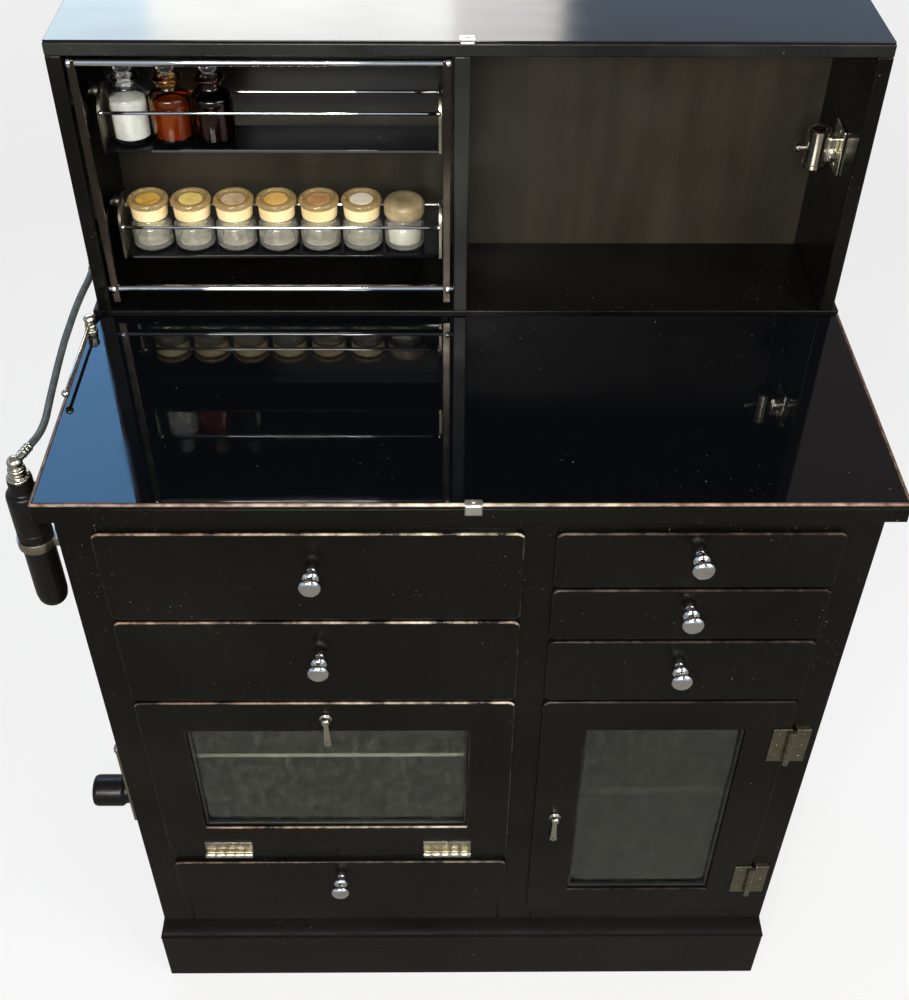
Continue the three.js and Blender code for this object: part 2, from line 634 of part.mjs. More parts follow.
function addHinges() {
  const places = [
    ['left', dropDoor.x0 + DROP_HINGE_INSET],
    ['right', dropDoor.x1 - DROP_HINGE_INSET - HINGE_LENGTH],
  ];
  places.forEach(([side, x0]) => {
    const x1 = x0 + HINGE_LENGTH;
    const leaf = box(x0, x1, leafFront, frontFace, dropHingeLevel, dropDoor.z0 + HINGE_LEAF);
    const knuckle = rodAcross(HINGE_KNUCKLE_RADIUS, x0, x1, hingeAxisFront, dropHingeLevel);
    add(`drop_door_hinge_${side}`, join(leaf, knuckle), nickel);
  });
  const levels = [
    ['upper', sideDoor.z1 - SIDE_HINGE_INSET - HINGE_LENGTH],
    ['lower', sideDoor.z0 + SIDE_HINGE_INSET],
  ];
  levels.forEach(([place, z]) => {
    const leaf = box(sideDoor.x1 - HINGE_LEAF, sideHingeX, leafFront, frontFace, z, z + HINGE_LENGTH);
    const barrel = rod(HINGE_KNUCKLE_RADIUS, HINGE_LENGTH);
    const knuckle = turnedUp(barrel, sideHingeX, hingeAxisFront, z, PIN_SIDES);
    add(`side_door_hinge_${place}`, join(leaf, knuckle), nickel);
  });
}

// Tilting rack: a nickel frame that leans out about its bottom rod, with two trays hung in it
const rackLeft = -hutchInner + RACK_SIDE_GAP;
const rackRight = dividerLeft - RACK_SIDE_GAP;
const rackFront = hutchFront + RACK_FRONT_GAP;
const rackAxisY = rackFront + RACK_ROD_RADIUS;
const rackAxisZ = hutchFloor + RACK_PIVOT_RISE;
const trayLeft = rackLeft + TRAY_SIDE_GAP;
const trayRight = rackRight - TRAY_SIDE_GAP;
const trayFront = hutchFront + TRAY_SETBACK;
const trayMiddle = trayFront + TRAY_DEPTH / 2;
const trays = [
  { name: 'upper_tray', shelf: WORKTOP_HEIGHT + UPPER_SHELF_RISE, rodRise: UPPER_ROD_RISE },
  { name: 'lower_tray', shelf: WORKTOP_HEIGHT + LOWER_SHELF_RISE, rodRise: LOWER_ROD_RISE },
];

function addRackFrame() {
  const bottom = hutchFloor + RACK_BAR_BOTTOM;
  const top = hutchCeiling - RACK_BAR_TOP;
  const barBack = rackFront + RACK_BAR_DEPTH;
  const plateBack = barBack + RACK_PLATE_DEPTH;
  const topRodZ = hutchCeiling - RACK_TOP_ROD_DROP;
  const side = (x0, x1, plate0, plate1) => [
    box(x0, x1, rackFront, barBack, bottom, top),
    box(plate0, plate1, barBack, plateBack, bottom, top),
    ...trays.map(({ shelf }) => {
      const z = shelf + TRAY_PIVOT_RISE;
      const arm = new THREE.Shape();
      arm.moveTo(barBack, z - TRAY_ARM_RADIUS);
      arm.absarc(trayMiddle, z, TRAY_ARM_RADIUS, -Math.PI / 2, Math.PI / 2);
      arm.lineTo(barBack, z + TRAY_ARM_RADIUS);
      return alongX(arm, plate0, plate1);
    }),
  ];
  const holeRadius = TRAY_PIVOT_RADIUS + PIN_CLEARANCE;
  const holes = trays.map(({ shelf }) =>
    rodAcross(holeRadius, -hutchInner, dividerLeft, trayMiddle, shelf + TRAY_PIVOT_RISE));
  const frame = join(
    ...side(rackLeft, rackLeft + RACK_BAR_WIDTH, rackLeft, rackLeft + RACK_PLATE),
    ...side(rackRight - RACK_BAR_WIDTH, rackRight, rackRight - RACK_PLATE, rackRight),
    rodAcross(RACK_ROD_RADIUS, rackLeft, rackRight, rackAxisY, topRodZ),
    rodAcross(RACK_ROD_RADIUS, -hutchInner + TOUCH_GAP, dividerLeft - TOUCH_GAP, rackAxisY, rackAxisZ),
  );
  add('rack_frame', cut(frame, ...holes), nickel);
}

function addTray({ name, shelf, rodRise }) {
  const pivotZ = shelf + TRAY_PIVOT_RISE;
  const endRadius = TRAY_DEPTH / 2;
  const crown = pivotZ + TRAY_ARM_RADIUS - endRadius;
  const end = new THREE.Shape();
  end.moveTo(trayFront, shelf - TRAY_SHELF);
  end.lineTo(trayFront + TRAY_DEPTH, shelf - TRAY_SHELF);
  end.absarc(trayMiddle, crown, endRadius, 0, Math.PI);
  const guard = (y) => rodAcross(TRAY_ROD_RADIUS, trayLeft, trayRight, y, shelf + rodRise);
  const collarGap = RACK_PLATE + TOUCH_GAP;
  const tray = join(
    box(trayLeft, trayRight, trayFront, trayFront + TRAY_DEPTH, shelf - TRAY_SHELF, shelf),
    alongX(end, trayLeft, trayLeft + TRAY_END),
    alongX(end, trayRight - TRAY_END, trayRight),
    guard(trayFront + TRAY_ROD_INSET),
    guard(trayFront + TRAY_DEPTH - TRAY_ROD_INSET),
    rodAcross(TRAY_COLLAR_RADIUS, rackLeft + collarGap, trayLeft + TRAY_END, trayMiddle, pivotZ),
    rodAcross(TRAY_COLLAR_RADIUS, trayRight - TRAY_END, rackRight - collarGap, trayMiddle, pivotZ),
    rodAcross(TRAY_PIVOT_RADIUS, rackLeft, trayLeft + TRAY_END, trayMiddle, pivotZ),
    rodAcross(TRAY_PIVOT_RADIUS, trayRight - TRAY_END, rackRight, trayMiddle, pivotZ),
  );
  add(name, tray, nickel);
}

// Stoppered bottles above and wide-lidded jars below
function addBottles() {
  const profile = [
    [0, 0],
    [BOTTLE_RADIUS, 0],
    [BOTTLE_RADIUS, BOTTLE_SHOULDER],
    [BOTTLE_NECK_RADIUS, BOTTLE_SHOULDER + BOTTLE_RADIUS - BOTTLE_NECK_RADIUS],
    [BOTTLE_NECK_RADIUS, BOTTLE_LIP - 4],
    [BOTTLE_LIP_RADIUS, BOTTLE_LIP - 2],
    [BOTTLE_LIP_RADIUS, BOTTLE_LIP],
    [STOPPER_RADIUS * 0.5, BOTTLE_LIP],
    [STOPPER_RADIUS, BOTTLE_LIP + 7],
    [STOPPER_RADIUS * 0.7, BOTTLE_HEIGHT],
    [0, BOTTLE_HEIGHT],
  ];
  const finishes = [whiteBottle, amberBottle, darkBottle];
  for (let i = 0; i < BOTTLE_COUNT; i += 1) {
    const x = trayLeft + BOTTLE_FIRST + i * BOTTLE_PITCH;
    add(`bottle_${i + 1}`, turnedUp(profile, x, trayMiddle, trays[0].shelf), finishes[i % finishes.length]);
  }
}

function addJars() {
  const profile = [
    [0, 0],
    [JAR_RADIUS, 0],
    [JAR_RADIUS, JAR_BODY],
    [JAR_NECK_RADIUS, JAR_BODY + 3],
    [JAR_NECK_RADIUS, JAR_NECK],
    [JAR_RADIUS, JAR_NECK + 2],
    [JAR_RADIUS, JAR_HEIGHT - JAR_LID_DOME - 2],
    [JAR_RADIUS * 0.85, JAR_HEIGHT - JAR_LID_DOME],
    [0, JAR_HEIGHT],
  ];
  const first = trayLeft + JAR_FIRST;
  const last = trayRight - TRAY_END - JAR_RADIUS;
  for (let i = 0; first + i * JAR_PITCH <= last; i += 1) {
    const x = first + i * JAR_PITCH;
    add(`jar_${i + 1}`, turnedUp(profile, x, trayMiddle, trays[1].shelf), jarGlass);
  }
}

// Rod socket: a clamp tube on a wall plate in the cubby, with its thumbscrew
function addRodSocket() {
  const x = hutchInner - SOCKET_REACH;
  const y = hutchFront + SOCKET_SETBACK;
  const z = WORKTOP_HEIGHT + SOCKET_RISE;
  const screwZ = z + SOCKET_LENGTH / 2;
  const half = SOCKET_ARM_WIDTH / 2;
  const plateHalf = SOCKET_PLATE_WIDTH / 2;
  const armBottom = screwZ - SOCKET_ARM_HEIGHT / 2;
  const plateBottom = screwZ - SOCKET_PLATE_HEIGHT / 2;
  const screwHole = rodAcross(THUMBSCREW_RADIUS + PIN_CLEARANCE, x - 2 * SOCKET_RADIUS, x, y, screwZ);
  const solid = join(
    turnedUp(rod(SOCKET_RADIUS, SOCKET_LENGTH), x, y, z),
    box(x, hutchInner, y - half, y + half, armBottom, armBottom + SOCKET_ARM_HEIGHT),
    box(hutchInner - SOCKET_PLATE, hutchInner, y - plateHalf, y + plateHalf, plateBottom,
      plateBottom + SOCKET_PLATE_HEIGHT),
  );
  const bore = turnedUp(rod(SOCKET_BORE, 3 * SOCKET_LENGTH), x, y, z - SOCKET_LENGTH);
  add('rod_socket', cut(solid, bore, screwHole), nickel);

  const tip = x - SOCKET_BORE - 1;
  const screw = turnedLeft([
    [0, 0],
    [THUMBSCREW_RADIUS, 0],
    [THUMBSCREW_RADIUS, THUMBSCREW_LENGTH - THUMBSCREW_HEAD],
    [THUMBSCREW_HEAD, THUMBSCREW_LENGTH - THUMBSCREW_HEAD],
    [THUMBSCREW_HEAD, THUMBSCREW_LENGTH - 1],
    [THUMBSCREW_HEAD - 1, THUMBSCREW_LENGTH],
    [0, THUMBSCREW_LENGTH],
  ], tip, y, screwZ, PIN_SIDES);
  add('rod_thumbscrew', screw, nickel);
}

// A straight tube between two points, for the nipples that the hose is pushed on to
function tubeBetween(from, to, radius) {
  const path = new THREE.LineCurve3(new THREE.Vector3(...from), new THREE.Vector3(...to));
  const ring = new THREE.EllipseCurve(0, 0, radius, radius).getPoints(HOSE_SIDES).slice(0, -1);
  return new THREE.ExtrudeGeometry(new THREE.Shape(ring), { steps: 1, extrudePath: path });
}

// The end of a hose's route, drawn back a little from the nipple that it meets
const hoseEnd = HOSE_ROUTE[HOSE_ROUTE.length - 1];

function addHandpiece() {
  const x = -baseHalf - HANDPIECE_STANDOFF;
  const y = HANDPIECE_SETBACK;
  const ringTop = HANDPIECE_LENGTH - RING_DROP;
  const shoulder = HANDPIECE_LENGTH;
  const capTop = shoulder + HANDPIECE_CAP;
  const body = turnedUp([
    [0, 0],
    [HANDPIECE_GRIP_RADIUS * 0.6, 2],
    [HANDPIECE_GRIP_RADIUS * 0.9, 8],
    [HANDPIECE_GRIP_RADIUS, 18],
    [HANDPIECE_GRIP_RADIUS, ringTop + TOUCH_GAP],
    [HANDPIECE_RADIUS, ringTop + TOUCH_GAP],
    [HANDPIECE_RADIUS, shoulder - 5],
    [HANDPIECE_CAP_RADIUS, shoulder],
    [HANDPIECE_CAP_RADIUS, capTop - 3],
    [HANDPIECE_COLLAR_RADIUS, capTop],
    [HANDPIECE_COLLAR_RADIUS, capTop + HANDPIECE_COLLAR],
    [0, capTop + HANDPIECE_COLLAR],
  ], x, y, handpieceBottom);
  const elbow = [x, y, handpieceTop + HANDPIECE_CAP + HANDPIECE_COLLAR + HANDPIECE_ELBOW_RADIUS / 2];
  const meet = new THREE.Vector3(...hoseEnd);
  const away = meet.clone().sub(new THREE.Vector3(...elbow)).normalize();
  const nippleEnd = meet.addScaledVector(away, -TOUCH_GAP).toArray();
  const nipple = tubeBetween(elbow, nippleEnd, NIPPLE_RADIUS);
  const head = turnedUp(ball(HANDPIECE_ELBOW_RADIUS), ...elbow, PIN_SIDES);
  add('handpiece', join(body, head, nipple), ebonite);

  const ringInner = (HANDPIECE_RADIUS + HANDPIECE_GRIP_RADIUS) / 2;
  const ringOuter = ringInner + RING_WALL;
  const armHalf = RING_ARM_WIDTH / 2;
  const plateHalf = RING_PLATE_WIDTH / 2;
  const plateBottom = ringLevel + RING_HEIGHT / 2 - RING_PLATE_HEIGHT / 2;
  const holder = join(
    turnedUp(rod(ringOuter, RING_HEIGHT), x, y, ringLevel),
    box(x, -baseHalf, y - armHalf, y + armHalf, ringLevel, ringLevel + RING_HEIGHT),
    box(-baseHalf - RING_PLATE, -baseHalf, y - plateHalf, y + plateHalf, plateBottom,
      plateBottom + RING_PLATE_HEIGHT),
  );
  const bore = turnedUp(rod(ringInner, 3 * RING_HEIGHT), x, y, ringLevel - RING_HEIGHT);
  add('handpiece_holder', cut(holder, bore), nickel);
}

function addHose() {
  const curve = new THREE.CatmullRomCurve3(HOSE_ROUTE.map((point) => new THREE.Vector3(...point)));
  const ring = new THREE.EllipseCurve(0, 0, HOSE_RADIUS, HOSE_RADIUS).getPoints(HOSE_SIDES).slice(0, -1);
  const hose = new THREE.ExtrudeGeometry(new THREE.Shape(ring), { steps: HOSE_STEPS, extrudePath: curve });
  add('hose', hose, hoseRubber);

  const y = hutchFront + OUTLET_SETBACK;
  const z = WORKTOP_HEIGHT + OUTLET_RISE;
  const reach = -hutchHalf - OUTLET_REACH;
  const flange = turnedLeft([
    [0, 0],
    [OUTLET_FLANGE_RADIUS, 0],
    [OUTLET_FLANGE_RADIUS, OUTLET_FLANGE],
    [OUTLET_STEM_RADIUS, OUTLET_FLANGE],
    [OUTLET_STEM_RADIUS, OUTLET_REACH],
    [0, OUTLET_REACH],
  ], -hutchHalf, y, z);
  const head = turnedUp(ball(OUTLET_BALL_RADIUS), reach, y, z, PIN_SIDES);
  const nipple = turnedForward(rod(NIPPLE_RADIUS, OUTLET_NIPPLE), reach, y, z, HOSE_SIDES);
  add('hose_outlet', join(flange, head, nipple), nickel);
}

// Lever valve: a post on the worktop's edge, and a long thin lever that swings over the glass
function addValve() {
  const x = -worktopHalf + VALVE_EDGE_INSET;
  const y = hutchFront - VALVE_HUTCH_GAP;
  const hubBottom = WORKTOP_HEIGHT + VALVE_POST + TOUCH_GAP;
  const post = turnedUp([
    [0, 0],
    [VALVE_FLANGE_RADIUS, 0],
    [VALVE_FLANGE_RADIUS, VALVE_FLANGE],
    [VALVE_POST_RADIUS, VALVE_FLANGE],
    [VALVE_POST_RADIUS, VALVE_POST],
    [0, VALVE_POST],
  ], x, y, WORKTOP_HEIGHT);
  add('valve_post', post, nickel);
  const hub = turnedUp([
    [0, 0],
    [VALVE_HUB_RADIUS, 0],
    [VALVE_HUB_RADIUS, VALVE_HUB * 0.8],
    [VALVE_HUB_RADIUS * 0.6, VALVE_HUB],
    [0, VALVE_HUB],
  ], x, y, hubBottom);
  const leverZ = hubBottom + LEVER_RISE;
  const arm = turnedForward(rod(LEVER_RADIUS, LEVER_LENGTH), x, y, leverZ, HOSE_SIDES);
  const tip = turnedUp(ball(LEVER_BALL_RADIUS), x, y - LEVER_LENGTH, leverZ, PIN_SIDES);
  add('valve_lever', join(hub, arm, tip), nickel);
}

// Regulator: a black knob on a long nickel plate
function addRegulator() {
  const y = REGULATOR_SETBACK;
  const half = REGULATOR_PLATE_WIDTH / 2;
  const bottom = regulatorLevel - REGULATOR_PLATE_DROP;
  const face = -baseHalf - REGULATOR_PLATE;
  const screwZ = bottom + REGULATOR_PLATE_HEIGHT - REGULATOR_SCREW_INSET;
  const screw = turnedLeft([
    [0, -REGULATOR_PLATE / 2],
    [REGULATOR_SCREW_RADIUS, -REGULATOR_PLATE / 2],
    [REGULATOR_SCREW_RADIUS, REGULATOR_SCREW_LENGTH * 0.5],
    [REGULATOR_SCREW_RADIUS * 0.6, REGULATOR_SCREW_LENGTH],
    [0, REGULATOR_SCREW_LENGTH],
  ], face, y, screwZ, PIN_SIDES);
  const plate = box(face, -baseHalf, y - half, y + half, bottom, bottom + REGULATOR_PLATE_HEIGHT);
  add('regulator_plate', join(plate, screw), nickel);
  const knob = turnedLeft([
    [0, 0],
    [REGULATOR_KNOB_RADIUS * 0.85, 0],
    [REGULATOR_KNOB_RADIUS, REGULATOR_KNOB_LENGTH * 0.35],
    [REGULATOR_KNOB_RADIUS, REGULATOR_KNOB_LENGTH * 0.9],
    [REGULATOR_KNOB_RADIUS * 0.8, REGULATOR_KNOB_LENGTH],
    [0, REGULATOR_KNOB_LENGTH],
  ], face - TOUCH_GAP, y, regulatorLevel);
  add('regulator_knob', knob, ebonite);
}

addPlinth();
addUprights();
addCarcass();
addHutch();
drawers.forEach(([name, front]) => addDrawer(name, front));
addDoor('drop_door', dropDoor, (dropDoor.x0 + dropDoor.x1) / 2, dropDoor.z1 - DOOR_RAIL / 2);
addDoor('side_door', sideDoor, sideDoor.x0 + DOOR_RAIL / 2, (sideDoor.z0 + sideDoor.z1) / 2);
addHinges();
addRackFrame();
trays.forEach(addTray);
addBottles();
addJars();
addRodSocket();
addHandpiece();
addHose();
addValve();
addRegulator();

export default cabinet;
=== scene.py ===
"""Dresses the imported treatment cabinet: worn lacquer, black glass, nickel, bottles, jars and a hose."""

import json
import math

import bmesh
import bpy
from mathutils import Matrix, Vector


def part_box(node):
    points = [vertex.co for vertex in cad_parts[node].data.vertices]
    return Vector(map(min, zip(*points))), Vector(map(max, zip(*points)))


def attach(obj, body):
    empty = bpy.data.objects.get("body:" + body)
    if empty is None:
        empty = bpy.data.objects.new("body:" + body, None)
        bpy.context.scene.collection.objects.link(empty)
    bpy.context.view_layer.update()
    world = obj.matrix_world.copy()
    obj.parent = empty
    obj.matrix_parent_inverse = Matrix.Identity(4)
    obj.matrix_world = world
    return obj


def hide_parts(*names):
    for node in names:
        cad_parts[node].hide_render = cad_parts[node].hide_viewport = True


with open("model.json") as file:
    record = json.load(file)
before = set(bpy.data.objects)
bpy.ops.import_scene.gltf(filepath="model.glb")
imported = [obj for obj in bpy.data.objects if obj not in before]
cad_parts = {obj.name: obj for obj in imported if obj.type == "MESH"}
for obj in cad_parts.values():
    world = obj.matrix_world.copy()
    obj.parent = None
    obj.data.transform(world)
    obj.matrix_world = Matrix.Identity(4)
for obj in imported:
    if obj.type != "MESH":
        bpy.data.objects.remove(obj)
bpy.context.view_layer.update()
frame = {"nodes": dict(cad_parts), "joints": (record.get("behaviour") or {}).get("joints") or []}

MM = 0.001
UP = Vector((0, 0, 1))
FORWARD = Vector((0, -1, 0))
LEFT = Vector((-1, 0, 0))
RIGHT = Vector((1, 0, 0))

# Points closer than this are one point, and levels closer than this are one level
MERGE = 1e-7
SAME_LEVEL = 1e-6

# A face that points this nearly along an axis is a flat one
FLAT = 0.9999

# Depths are laid out from the worktop's front edge, which lies this far in front of the origin
FRONT_EDGE = 242 * MM

# Sizes that the wooden pieces share with the solids
LIP = 5.7 * MM
FRONT_COVER = 8 * MM
RUN_GAP = 1.5 * MM
FRONT_CORNER = 9 * MM
FRONT_INNER = 14 * MM
FACE_PROUD = 6 * MM
DRAWER_WALL = 10 * MM
DRAWER_BOTTOM = 6 * MM
DOOR_RAIL = 54 * MM
PANE_SETBACK = 8 * MM
PANE_REBATE = 6 * MM
HINGE_LEAF = 2 * MM
HINGE_KNUCKLE = 4.5 * MM
PLINTH_HEIGHT = 102 * MM
PLINTH_WALL = 40 * MM
COVE_HEIGHT = 30 * MM
COVE_STEP = 2 * MM
GLASS_PLATE = 2.5 * MM

# How far edges are rounded: thin plates, glass and the boards round it, and the rims of drawers and doors
PLATE_EASE = 0.5 * MM
GLASS_EASE = 0.8 * MM
FRONT_EASE = 2.4 * MM

# An edge that faces up more than this is rubbed in full, and another by a share of it; the full rubbing of
# up-facing edges is partly a painted highlight of light from above
UPWARD = 0.3
SIDE_WEAR = 0.05


# Shape helpers

def is_flat(face):
    return max(abs(value) for value in face.normal) >= FLAT


def round_off(shape, items, width, segments, affect="EDGES"):
    """Rounds edges, or corner points, in a few steps."""
    return bmesh.ops.bevel(
        shape, geom=items, offset=width, segments=segments, profile=0.5, affect=affect, material=-1
    )


def ease_edges(shape, edges, width, worn=0.0, segments=3):
    """Rounds edges, and marks the middle of each rounding as worn, in full where it faces up, which is
    partly painted highlight.
    """
    made = round_off(shape, edges, width, segments)
    shape.normal_update()
    rounded = {face for face in made["faces"] if not is_flat(face)}
    wear_and_highlight = shape.verts.layers.float["wear_and_highlight"]
    for vert in {vert for face in rounded for vert in face.verts}:
        if all(face in rounded for face in vert.link_faces):
            # Up-facing roundings take the full mark: partly real wear, partly painted highlight of light
            # falling from above
            vert[wear_and_highlight] = worn if vert.normal.z > UPWARD else worn * SIDE_WEAR


def add_block(shape, low, high):
    """A plain block between two corners."""
    low, high = Vector(low), Vector(high)
    place = Matrix.Translation((low + high) / 2) @ Matrix.Diagonal((*(high - low), 1))
    return bmesh.ops.create_cube(shape, size=1, matrix=place)["verts"]


def along(edge, axis):
    direction = (edge.verts[1].co - edge.verts[0].co).normalized()
    return abs(direction.dot(axis)) > 0.99


def edges_of(verts, axis=None):
    """The edges at some points, or only those of them that run along one axis."""
    edges = dict.fromkeys(edge for vert in verts for edge in vert.link_edges)
    return [edge for edge in edges if axis is None or along(edge, axis)]


def front_rim(shape, level):
    """The edges round the forward faces that lie at one depth."""
    rim = []
    for edge in shape.edges:
        if all(abs(vert.co.y - level) < SAME_LEVEL for vert in edge.verts):
            facing = [face.normal.dot(FORWARD) > 0.9 for face in edge.link_faces]
            if len(facing) == 2 and facing[0] != facing[1]:
                rim.append(edge)
    return rim


def add_loop(shape, x0, x1, z0, z1, y, corner):
    """The outline of an upright rectangle with round corners, as loose edges."""
    earlier = set(shape.faces)
    verts = [shape.verts.new(place) for place in ((x0, y, z0), (x1, y, z0), (x1, y, z1), (x0, y, z1))]
    shape.faces.new(verts)
    round_off(shape, verts, corner, 5, "VERTICES")
    made = [face for face in shape.faces if face not in earlier]
    edges = list(dict.fromkeys(edge for face in made for edge in face.edges))
    bmesh.ops.delete(shape, geom=made, context="FACES_ONLY")
    return edges


def pull(shape, faces, move):
    """Pulls faces along into a solid."""
    made = bmesh.ops.extrude_face_region(shape, geom=faces)["geom"]
    verts = [item for item in made if isinstance(item, bmesh.types.BMVert)]
    bmesh.ops.translate(shape, verts=verts, vec=move)


def scaled(points):
    """A profile of (radius, height) points that are given in millimetres."""
    return [Vector((radius * MM, height * MM)) for radius, height in points]


def eased(ease, points, steps=4):
    """A profile in millimetres with its inner corners rounded."""
    path = scaled(points)
    smooth = [path[0]]
    for before, corner, after in zip(path, path[1:], path[2:]):
        reach = min(ease * MM, (before - corner).length * 0.45, (after - corner).length * 0.45)
        start = corner + (before - corner).normalized() * reach
        end = corner + (after - corner).normalized() * reach
        for step in range(steps + 1):
            t = step / steps
            smooth.append(start * (1 - t) ** 2 + corner * 2 * t * (1 - t) + end * t ** 2)
    return smooth + path[-1:]


# Parts: each is called with its sizes alone, and gives a builder that adds it to the shape of a piece

def part(adder):
    return lambda *sizes, **options: lambda shape: adder(shape, *sizes, **options)


@part
def board(shape, low, high, ease=1.5 * MM, worn=0.0):
    """A board between two corners with all its edges eased."""
    ease_edges(shape, edges_of(add_block(shape, low, high)), ease, worn)


@part
def lip_board(shape, low, high, worn):
    """A board that faces forward, with round corners and an eased front rim."""
    round_off(shape, edges_of(add_block(shape, low, high), FORWARD), FRONT_CORNER, 6)
    ease_edges(shape, front_rim(shape, low.y), FRONT_EASE, worn)


@part
def round_ended(shape, low, high, axis, level, radius, segments):
    """A plate whose edges past one level along an axis are rounded to almost a full radius."""
    edges = edges_of(add_block(shape, low, high), RIGHT)
    round_off(shape, [edge for edge in edges if edge.verts[0].co[axis] > level], radius * 0.98, segments)


@part
def ring(shape, outer, window, y0, y1, corners, ease, worn=0.0):
    """A flat frame round a window: its front rims are eased inside and out."""
    edges = add_loop(shape, *outer, y1, corners[0]) + add_loop(shape, *window, y1, corners[1])
    pull(shape, bmesh.ops.bridge_loops(shape, edges=edges)["faces"], (0, y0 - y1, 0))
    bmesh.ops.recalc_face_normals(shape, faces=shape.faces)
    ease_edges(shape, front_rim(shape, y0), ease, worn)


@part
def turned(shape, profile, origin, toward=UP, steps=48):
    """A turned form: the profile's heights run from the origin along one direction."""
    earlier = set(shape.verts)
    place = Matrix.Translation(origin) @ UP.rotation_difference(toward).to_matrix().to_4x4()
    verts = [shape.verts.new((radius, 0, height)) for radius, height in profile]
    edges = [shape.edges.new(pair) for pair in zip(verts, verts[1:])]
    bmesh.ops.spin(
        shape, geom=verts + edges, cent=(0, 0, 0), axis=(0, 0, 1), angle=2 * math.pi, steps=steps,
        use_merge=True,
    )
    made = [vert for vert in shape.verts if vert not in earlier]
    bmesh.ops.remove_doubles(shape, verts=made, dist=MERGE)
    made = [vert for vert in shape.verts if vert not in earlier]
    bmesh.ops.transform(shape, matrix=place, verts=made)


@part
def rod(shape, start, end, radius, ease=0.4 * MM):
    """A round rod between two points, with its ends eased."""
    start, end = Vector(start), Vector(end)
    turn = UP.rotation_difference(end - start).to_matrix().to_4x4()
    made = bmesh.ops.create_cone(
        shape, cap_ends=True, segments=28, radius1=radius, radius2=radius, depth=(end - start).length,
        matrix=Matrix.Translation((start + end) / 2) @ turn,
    )
    direction = (end - start).normalized()
    round_off(shape, [edge for edge in edges_of(made["verts"]) if not along(edge, direction)], ease, 2)


@part
def ball(shape, centre, radius):
    bmesh.ops.create_uvsphere(
        shape, u_segments=28, v_segments=16, radius=radius, matrix=Matrix.Translation(centre)
    )


@part
def screw(shape, place, toward, radius=2.6):
    """A low domed screw head, with its radius in millimetres."""
    head = eased(0.3, [(0, 0), (radius, 0), (radius * 0.92, 0.5), (0, 0.8)], 2)
    turned(head, place, toward, 16)(shape)


def add_object(name, data):
    made = bpy.data.objects.new(name, data)
    bpy.context.scene.collection.objects.link(made)
    return made


def make_piece(name, body, look, node, *parts, sharp=32, slot=None):
    """A piece that rides on a body and may stand for a CAD node; a look is a material and its usual slot,
    and only the material is put on the piece.
    """
    shape = bmesh.new()
    shape.verts.layers.float.new("wear_and_highlight")
    for build in parts:
        build(shape)
    bmesh.ops.remove_doubles(shape, verts=shape.verts, dist=MERGE)
    bmesh.ops.recalc_face_normals(shape, faces=shape.faces)
    mesh = bpy.data.meshes.new(name)
    shape.to_mesh(mesh)
    shape.free()
    mesh.materials.append(look[0])
    mesh.set_sharp_from_angle(angle=math.radians(sharp))
    for face in mesh.polygons:
        face.use_smooth = not is_flat(face)
    piece = add_object(name, mesh)
    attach(piece, body)
    if node:
        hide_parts(node)
    return piece


def box_of(node):
    low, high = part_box(node)
    return Vector(low), Vector(high)


def foot_of(node):
    low, high = box_of(node)
    return Vector(((low.x + high.x) / 2, (low.y + high.y) / 2, low.z))


def joint_place(name):
    return next(Vector(joint["pos_m"]) for joint in frame["joints"] if joint["name"] == name)


# Material helpers

class Nodes:
    """A node tree under construction."""

    def __init__(self, tree):
        self.tree = tree

    def fill(self, node, inputs):
        """Links patterns to a node's inputs, and puts uniform values straight on them."""
        for key, value in inputs.items():
            if isinstance(value, bpy.types.NodeSocket):
                self.tree.links.new(value, node.inputs[key])
            else:
                node.inputs[key].default_value = value

    def node(self, kind, inputs=None, **settings):
        made = self.tree.nodes.new("ShaderNode" + kind)
        for key, value in settings.items():
            setattr(made, key, value)
        self.fill(made, inputs or {})
        return made

    def ramp(self, fac, *stops):
        made = self.node("ValToRGB", {"Fac": fac})
        while len(made.color_ramp.elements) < len(stops):
            made.color_ramp.elements.new(0.5)
        for element, (place, color) in zip(made.color_ramp.elements, stops):
            element.position = place
            element.color = (*color, 1)
        return made.outputs["Color"]

    def by_ray(self, plain, mirrored, seen):
        """A shader for scattered light, one for mirrors, and one for the camera, also through glass."""
        rays = self.node("LightPath").outputs
        direct = {0: rays["Is Camera Ray"], 1: rays["Is Transmission Ray"]}
        direct = self.node("Math", direct, operation="MAXIMUM").outputs[0]
        for share, shader in ((rays["Is Glossy Ray"], mirrored), (direct, seen)):
            plain = self.node("MixShader", {0: share, 1: plain.outputs[0], 2: shader.outputs[0]})
        return plain.outputs[0]


